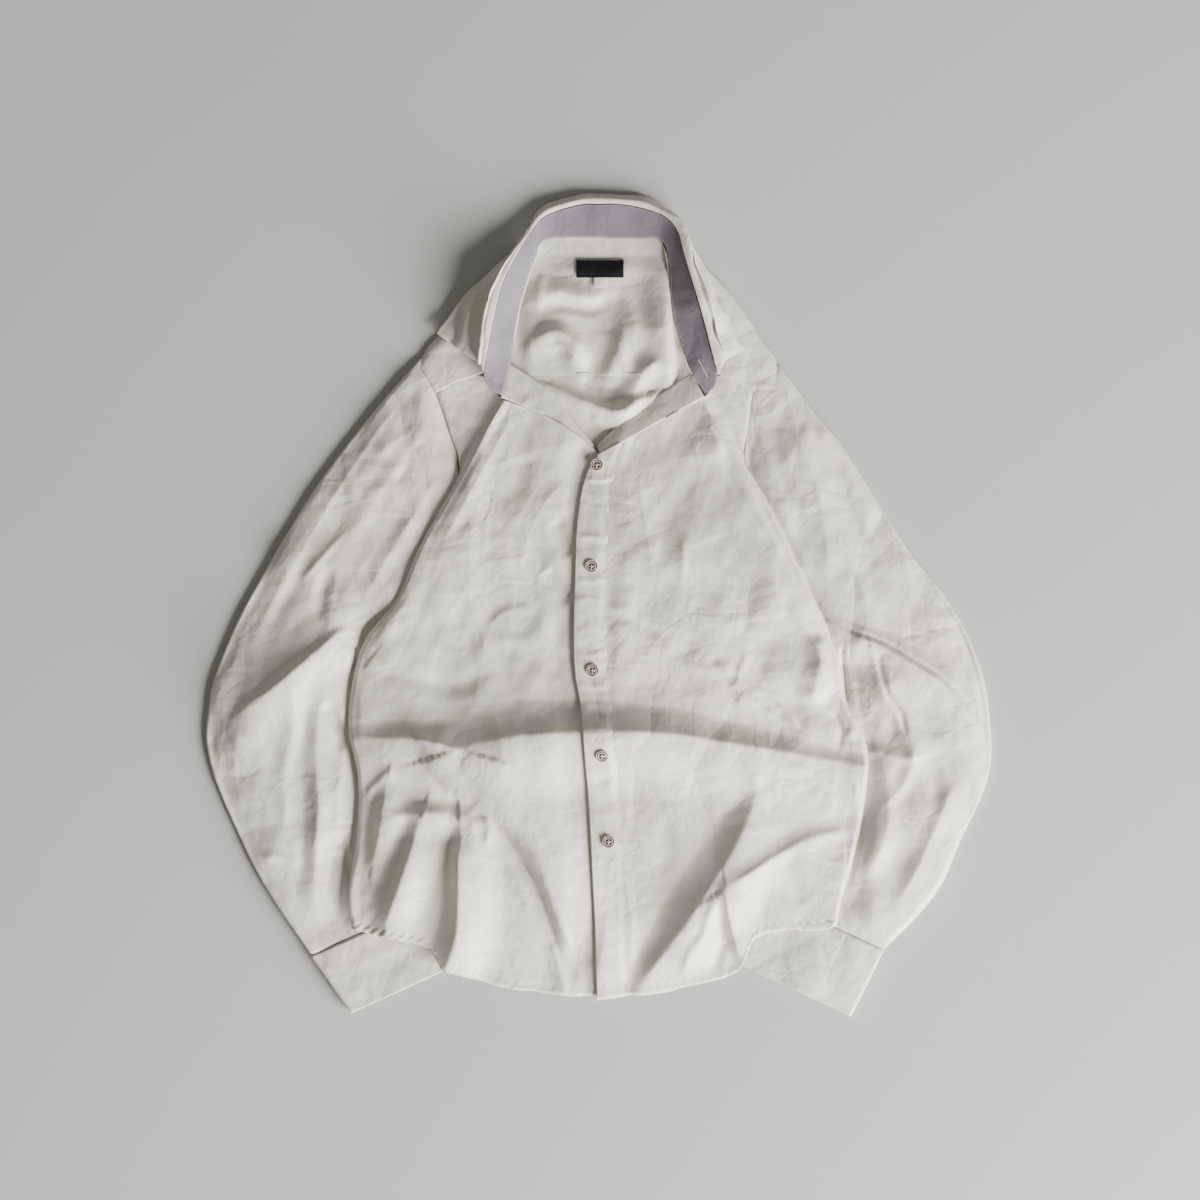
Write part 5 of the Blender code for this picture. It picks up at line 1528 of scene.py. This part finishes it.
@dataclass
class Collar:
    """The collar stand with its contrasting inner face, and the leaf that rolls over it."""

    sections: int = 300
    stand_columns: int = 18
    leaf_columns: int = 36
    first_leaf_row: int = 2
    last_leaf_row: int = 19
    leaf_gap: float = 1.7
    leaf_lies: Span = Span(-12.5, 4.0)
    leaf_loose: Span = Span(0, 12)

    def build(self, wardrobe: Wardrobe, stitches: Stitches) -> None:
        """Make the stand and the leaf."""
        table = plain_rows(COLLAR)
        stand = self.stand(evenly(table, self.sections))
        wardrobe.sew("collar_stand", stand, LAVENDER, 0.8)
        stitches.run("collar_stand", stand, Border.LAST_COLUMN, 1.6)
        stitches.run("collar_stand", stand, Border.FIRST_COLUMN, 1.6)
        stitches.bar("collar_stand", stand, (93, 232), (101.5, 214.5), 1.7)
        stitches.bar("collar_stand", stand, (-100.8, 213.2), (-99.4, 211.6), 1.6)
        places = np.linspace(self.first_leaf_row, self.last_leaf_row, self.sections)
        leaf = self.leaf(through(table, places))
        wardrobe.sew("collar_leaf", leaf, COTTON)
        stitches.run("collar_leaf", leaf, Border.LAST_COLUMN, 6.0)

    def stand(self, rows: np.ndarray) -> ClothGrid:
        """Work out the face of the stand that shows."""
        share = np.linspace(0, 1, self.stand_columns)[None, :, None]
        seam = np.column_stack([rows[:, 0:2], rows[:, 8]])[:, None]
        top = np.column_stack([rows[:, 2:4], rows[:, 9]])[:, None]
        grid = ClothGrid(seam + (top - seam) * share, -1)
        grid.push(Crumple(71, 40.0, 0.3).height(grid.points[..., 0], grid.points[..., 1]))
        return grid

    def leaf(self, rows: np.ndarray) -> ClothGrid:
        """Work out the leaf, from its root over the roll to its edge."""
        grid = []
        for row in rows:
            top, roll, edge, top_z, edge_z = row[2:4], row[4:6], row[6:8], row[9], row[10]
            flat = float(self.leaf_lies.at(-top_z))
            out = roll - top
            root_z = top_z + self.leaf_gap
            roll_z = root_z - 0.6 - (root_z - 5.2) * flat
            fall = edge + (roll - edge) * 0.55
            near = edge + (roll - edge) * 0.22
            grid.append(evenly(np.array([
                (*top, root_z),
                (*(top + out * 0.55), root_z + 0.5),
                (*(top + out * 0.97), roll_z),
                (*roll, (roll_z - 1.2) * (1 - flat) + 3.0 * flat),
                (*fall, (edge_z + (roll_z - edge_z) * 0.5) * (1 - flat) + 1.5 * flat),
                (*near, (edge_z + (roll_z - edge_z) * 0.12) * (1 - flat) + 1.4 * flat),
                (*edge, edge_z),
            ]), self.leaf_columns))
        leaf = ClothGrid(np.array(grid), -1)
        x, y = leaf.points[..., 0], leaf.points[..., 1]
        loose = self.leaf_loose.at(leaf.distance(Border.FIRST_COLUMN))
        wavy = Crumple(75, 40.0, 1.2, 1.3).height(x, y)
        leaf.push(loose * (wavy + Relief(LEAF_CREASES).height(x, y)))
        return leaf


class Labels:
    """The bare woven neck label and the size tag below it."""

    def build(self, wardrobe: Wardrobe, stitches: Stitches) -> None:
        """Make the label and the tag."""
        label = self.patch(LABEL_BOX, 2.7, 40)
        tag = self.patch(TAG_BOX, 2.3, 16)
        wardrobe.sew("neck_label", label, LABEL_BLACK, 0.5)
        wardrobe.sew("size_tag", tag, TAG_WHITE, 0.4)
        stitches.run("neck_label", label, Border.FIRST_ROW, 0.8)

    @staticmethod
    def patch(box: tuple[Place, Place], lift: float, columns: int) -> ClothGrid:
        """Work out a small piece that lies on the inside of the yoke."""
        (x0, y0), (x1, y1) = box
        x, y = np.meshgrid(np.linspace(x0, x1, columns), np.linspace(y1, y0, 20))
        height = BackAndYoke.floor(x, y) + lift
        return ClothGrid(np.stack([x, y, height], axis=-1), -1)


BUTTON_PROFILE = (
    (0.0, 0.0), (5.3, 0.0), (5.9, 0.35), (6.1, 0.9), (6.0, 1.9), (5.65, 2.3), (5.4, 2.4), (5.2, 2.25),
    (5.1, 1.6), (4.1, 1.6), (4.0, 2.1), (3.4, 2.1), (3.3, 1.65), (2.6, 1.65), (2.5, 1.9), (0.0, 1.9),
)
# Radii of the groove rings on each button, where painted shade goes.
SHADED_GROOVE_RINGS = ((4.07, 5.13), (2.57, 3.33))


@dataclass
class Buttons:
    """The four-hole buttons."""

    placket: ClothGrid
    lift: float = 0.5
    pitch: float = 1.4
    hole: float = 0.85
    floor: float = 0.9
    pin: float = 8.0

    def build(self, wardrobe: Wardrobe) -> None:
        """Make every button: the front ones on the placket, the rest in their nodes' places."""
        points, normals = self.placket.points, self.placket.normals()
        for number, place in enumerate(BUTTON_PLACES, start=1):
            gap = np.hypot(points[..., 0] - place[0], points[..., 1] - place[1])
            spot = np.unravel_index(np.argmin(gap), gap.shape)
            around = tuple(slice(at - 2, at + 3) for at in spot)
            normal = Vector(normals[around].mean(axis=(0, 1))).normalized()
            base = Vector((place[0] - MIDDLE[0], place[1] - MIDDLE[1], points[spot][2])) * MM
            self.one(f"button_{number}", base + normal * self.lift * MM, normal, wardrobe)
        for name in ("button_collar", "button_cuff_left", "button_cuff_right"):
            low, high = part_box(name)
            base = Vector(((low[0] + high[0]) / 2, (low[1] + high[1]) / 2, low[2]))
            self.one(name, base, Vector((0, 0, 1)), wardrobe)

    def one(self, node: str, base: Vector, normal: Vector, wardrobe: Wardrobe) -> None:
        """Make one button with its back at the base point."""
        bm = bmesh.new()
        verts = [bm.verts.new((r * MM, 0.0, z * MM)) for r, z in BUTTON_PROFILE]
        edges = [bm.edges.new(pair) for pair in zip(verts[:-1], verts[1:])]
        bmesh.ops.spin(bm, geom=verts + edges, cent=(0, 0, 0), axis=(0, 0, 1), angle=2 * math.pi, steps=48,
                       use_merge=True)
        bmesh.ops.remove_doubles(bm, verts=bm.verts, dist=DISC_MERGE)
        bmesh.ops.recalc_face_normals(bm, faces=bm.faces)
        mesh = self.pierced(bm, node)
        # Hole walls, hole floors and groove rings take the second finish: painted shade in these recesses.
        dark = []
        for face in mesh.polygons:
            x, y, z = face.center / MM
            hole = z > 0.5 and math.hypot(abs(x) - self.pitch, abs(y) - self.pitch) < self.hole + 0.08
            groove = z > 1.0 and any(low < math.hypot(x, y) < high for low, high in SHADED_GROOVE_RINGS)
            dark.append(int(hole or groove))
        turn = Vector((0, 0, 1)).rotation_difference(normal).to_matrix().to_4x4()
        mesh.transform(Matrix.Translation(base) @ turn)
        mesh.shade_smooth()
        piece = link(node + "_moulded", mesh)
        wardrobe.dress(piece, PEARL)
        # The second finish is painted shade for the holes and grooves.
        piece.data.materials.append(wardrobe.finish(RECESS_SHADE))
        mesh.polygons.foreach_set("material_index", dark)
        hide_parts(node)

    def pierced(self, disc: bmesh.types.BMesh, name: str) -> bpy.types.Mesh:
        """Sink the four holes in the disc, down to a blind floor that carries painted shade.

        Args:
            disc: The moulded disc, freed here.
            name: The button's node.

        Returns:
            The mesh with its holes.
        """
        pins = bmesh.new()
        for step_x in (-1, 1):
            for step_y in (-1, 1):
                middle = Vector((step_x * self.pitch, step_y * self.pitch, self.floor + self.pin / 2))
                bmesh.ops.create_cone(pins, cap_ends=True, segments=10, radius1=self.hole * MM,
                                      radius2=self.hole * MM, depth=self.pin * MM,
                                      matrix=Matrix.Translation(middle * MM))
        helpers = [link_shape(f"{name}_{kind}", shape) for kind, shape in (("disc", disc), ("pins", pins))]
        cut = helpers[0].modifiers.new("Holes", "BOOLEAN")
        cut.operation = "DIFFERENCE"
        cut.object = helpers[1]
        graph = bpy.context.evaluated_depsgraph_get()
        result = bpy.data.meshes.new_from_object(helpers[0].evaluated_get(graph))
        result.name = name + "_moulded"
        for helper in helpers:
            bpy.data.objects.remove(helper, do_unlink=True)
        return result


STITCH_SHARE = 0.36
STITCH_HALF_WIDTH = 0.17
STITCH_HALF_HEIGHT = 0.15
STITCH_LIFT = 0.04
BAR_PITCH = 0.4
BAR_LIFT = 0.1


class Stitches:
    """Lines of single stitches, gathered for each piece that they are sewn on."""

    def __init__(self) -> None:
        """Start with no lines."""
        self.places: dict[str, list[tuple[np.ndarray, np.ndarray, np.ndarray]]] = {}

    def run(self, owner: str, grid: ClothGrid, border: Border, inset: float, start: float = 0.0,
            end: float = 1.0, pitch: float = 3.0) -> None:
        """Lay a line of stitches inside a border.

        Args:
            owner: The piece's name.
            grid: The piece.
            border: The border that the line follows.
            inset: Its distance inside the border, in millimetres.
            start: Where it starts, as a share of the border.
            end: Where it ends.
            pitch: From stitch to stitch, in millimetres.
        """
        line = grid.line(border, inset, start, end)
        steps = np.linalg.norm(np.diff(line[:, :3], axis=0), axis=1)
        run = np.concatenate([[0.0], np.cumsum(steps)])
        for place in np.arange(pitch / 2, run[-1] - pitch / 2, pitch):
            first, last = (
                np.array([np.interp(place + side * STITCH_SHARE * pitch, run, line[:, axis])
                          for axis in range(6)])
                for side in (-1, 1)
            )
            middle = (first + last) / 2
            self.places.setdefault(owner, []).append((middle[:3], last[:3] - first[:3], middle[3:]))

    def bar(self, owner: str, grid: ClothGrid, start: Place, end: Place, width: float) -> None:
        """Lay stitches side by side between two places, as round a buttonhole.

        Args:
            owner: The piece's name.
            grid: The piece.
            start: Where the bar starts, in millimetres.
            end: Where it ends.
            width: The length of each stitch across it, in millimetres.
        """
        both = np.concatenate([grid.points, grid.normals()], axis=-1).reshape(-1, 6)
        way = np.subtract(end, start)
        length = np.hypot(*way)
        for place in np.linspace(start, end, max(3, int(length / BAR_PITCH))):
            near = np.argsort(np.hypot(both[:, 0] - place[0], both[:, 1] - place[1]))[:4]
            height, normal = both[near, 2].mean(), both[near, 3:].mean(axis=0)
            along = np.array([-way[1], way[0], 0.0]) / length * width
            along -= normal * float(along @ normal)
            self.places.setdefault(owner, []).append((np.array([*place, height + BAR_LIFT]), along, normal))

    def build(self, wardrobe: Wardrobe) -> None:
        """Make one object of stitches for each piece."""
        for owner, places in self.places.items():
            bm = bmesh.new()
            for middle, along, normal in places:
                length = float(np.linalg.norm(along))
                axis = Vector(along / length)
                up = Vector(normal).normalized()
                side = up.cross(axis).normalized()
                turn = Matrix((axis, side, axis.cross(side))).transposed().to_4x4()
                half = (length / 2 * MM, STITCH_HALF_WIDTH * MM, STITCH_HALF_HEIGHT * MM, 1.0)
                size = Matrix.Diagonal(half)
                spot = Vector(middle - np.array([*MIDDLE, 0.0])) * MM + up * STITCH_LIFT * MM
                bmesh.ops.create_icosphere(bm, subdivisions=1, radius=1.0,
                                           matrix=Matrix.Translation(spot) @ turn @ size)
            piece = link_shape("stitches_" + owner, bm)
            piece.data.shade_smooth()
            wardrobe.dress(piece, THREAD)


class Lamp(NamedTuple):
    """One soft light that looks at the shirt's middle."""

    name: str
    place: tuple[float, float, float]
    size: float
    power: float
    colour: tuple[float, float, float]


LAMPS = (
    Lamp("key", (2.85, -2.6, 1.46), 3.0, 920.0, (1.0, 0.975, 0.95)),
    Lamp("fill", (-1.4, 0.8, 3.0), 2.4, 8.0, (0.97, 1.0, 0.9)),
)


@dataclass
class Studio:
    """The floor, the camera and the soft light."""

    distance: float = 4.0
    frame_width: float = 1.140
    sensor: float = 36.0
    shift: Place = (0.00092, 0.004665)
    floor_size: float = 4.0
    floor_drop: float = 0.0006
    floor_colour: Colour = (0.43, 0.43, 0.426, 1.0)
    air_colour: Colour = (1.0, 0.985, 0.89, 1.0)
    air_strength: float = 0.18

    def build(self) -> None:
        """Set up the floor, the camera and the lights."""
        bm = bmesh.new()
        bmesh.ops.create_grid(bm, x_segments=1, y_segments=1, size=self.floor_size)
        bmesh.ops.translate(bm, verts=bm.verts, vec=(0, 0, -self.floor_drop))
        floor = link_shape("floor", bm)
        web = Web("floor_paper")
        web.feed(web.shader.inputs["Base Color"], self.floor_colour)
        web.feed(web.shader.inputs["Roughness"], 1.0)
        web.feed(web.shader.inputs["Specular IOR Level"], 0.0)
        floor.data.materials.append(web.material)
        camera_data = bpy.data.cameras.new("camera")
        camera_data.sensor_width = self.sensor
        camera_data.lens = self.sensor * self.distance / self.frame_width
        camera = link("camera", camera_data)
        camera.location = (*self.shift, self.distance)
        bpy.context.scene.camera = camera
        for lamp in LAMPS:
            self.light(lamp)
        world = bpy.data.worlds.new("studio")
        world.use_nodes = True
        air = world.node_tree.nodes["Background"]
        air.inputs["Color"].default_value = self.air_colour
        air.inputs["Strength"].default_value = self.air_strength
        bpy.context.scene.world = world

    @staticmethod
    def light(lamp: Lamp) -> None:
        """Add one soft light."""
        data = bpy.data.lights.new(lamp.name, "AREA")
        data.shape = "DISK"
        data.size = lamp.size
        data.energy = lamp.power
        data.color = lamp.colour
        made = link(lamp.name, data)
        made.location = lamp.place
        made.rotation_euler = (-Vector(lamp.place)).to_track_quat("-Z", "Y").to_euler()


def main() -> None:
    """Build the shirt and the studio."""
    logging.basicConfig(level=logging.INFO)
    wardrobe, stitches = Wardrobe(), Stitches()
    Studio().build()
    fronts = Fronts()
    fronts.build(wardrobe, stitches)
    BackAndYoke().build(wardrobe, stitches)
    Sleeve("left", LEFT_SLEEVE, LEFT_ARMHOLE, LEFT_SLEEVE_FORMS, LEFT_SLEEVE_CREASES, LEFT_CUFF, 1,
           201).build(wardrobe, stitches)
    Sleeve("right", RIGHT_SLEEVE, RIGHT_ARMHOLE, RIGHT_SLEEVE_FORMS, RIGHT_SLEEVE_CREASES, RIGHT_CUFF, -1,
           301).build(wardrobe, stitches)
    Collar().build(wardrobe, stitches)
    Labels().build(wardrobe, stitches)
    Buttons(fronts.strip).build(wardrobe)
    stitches.build(wardrobe)


if __name__ == "__main__":
    main()
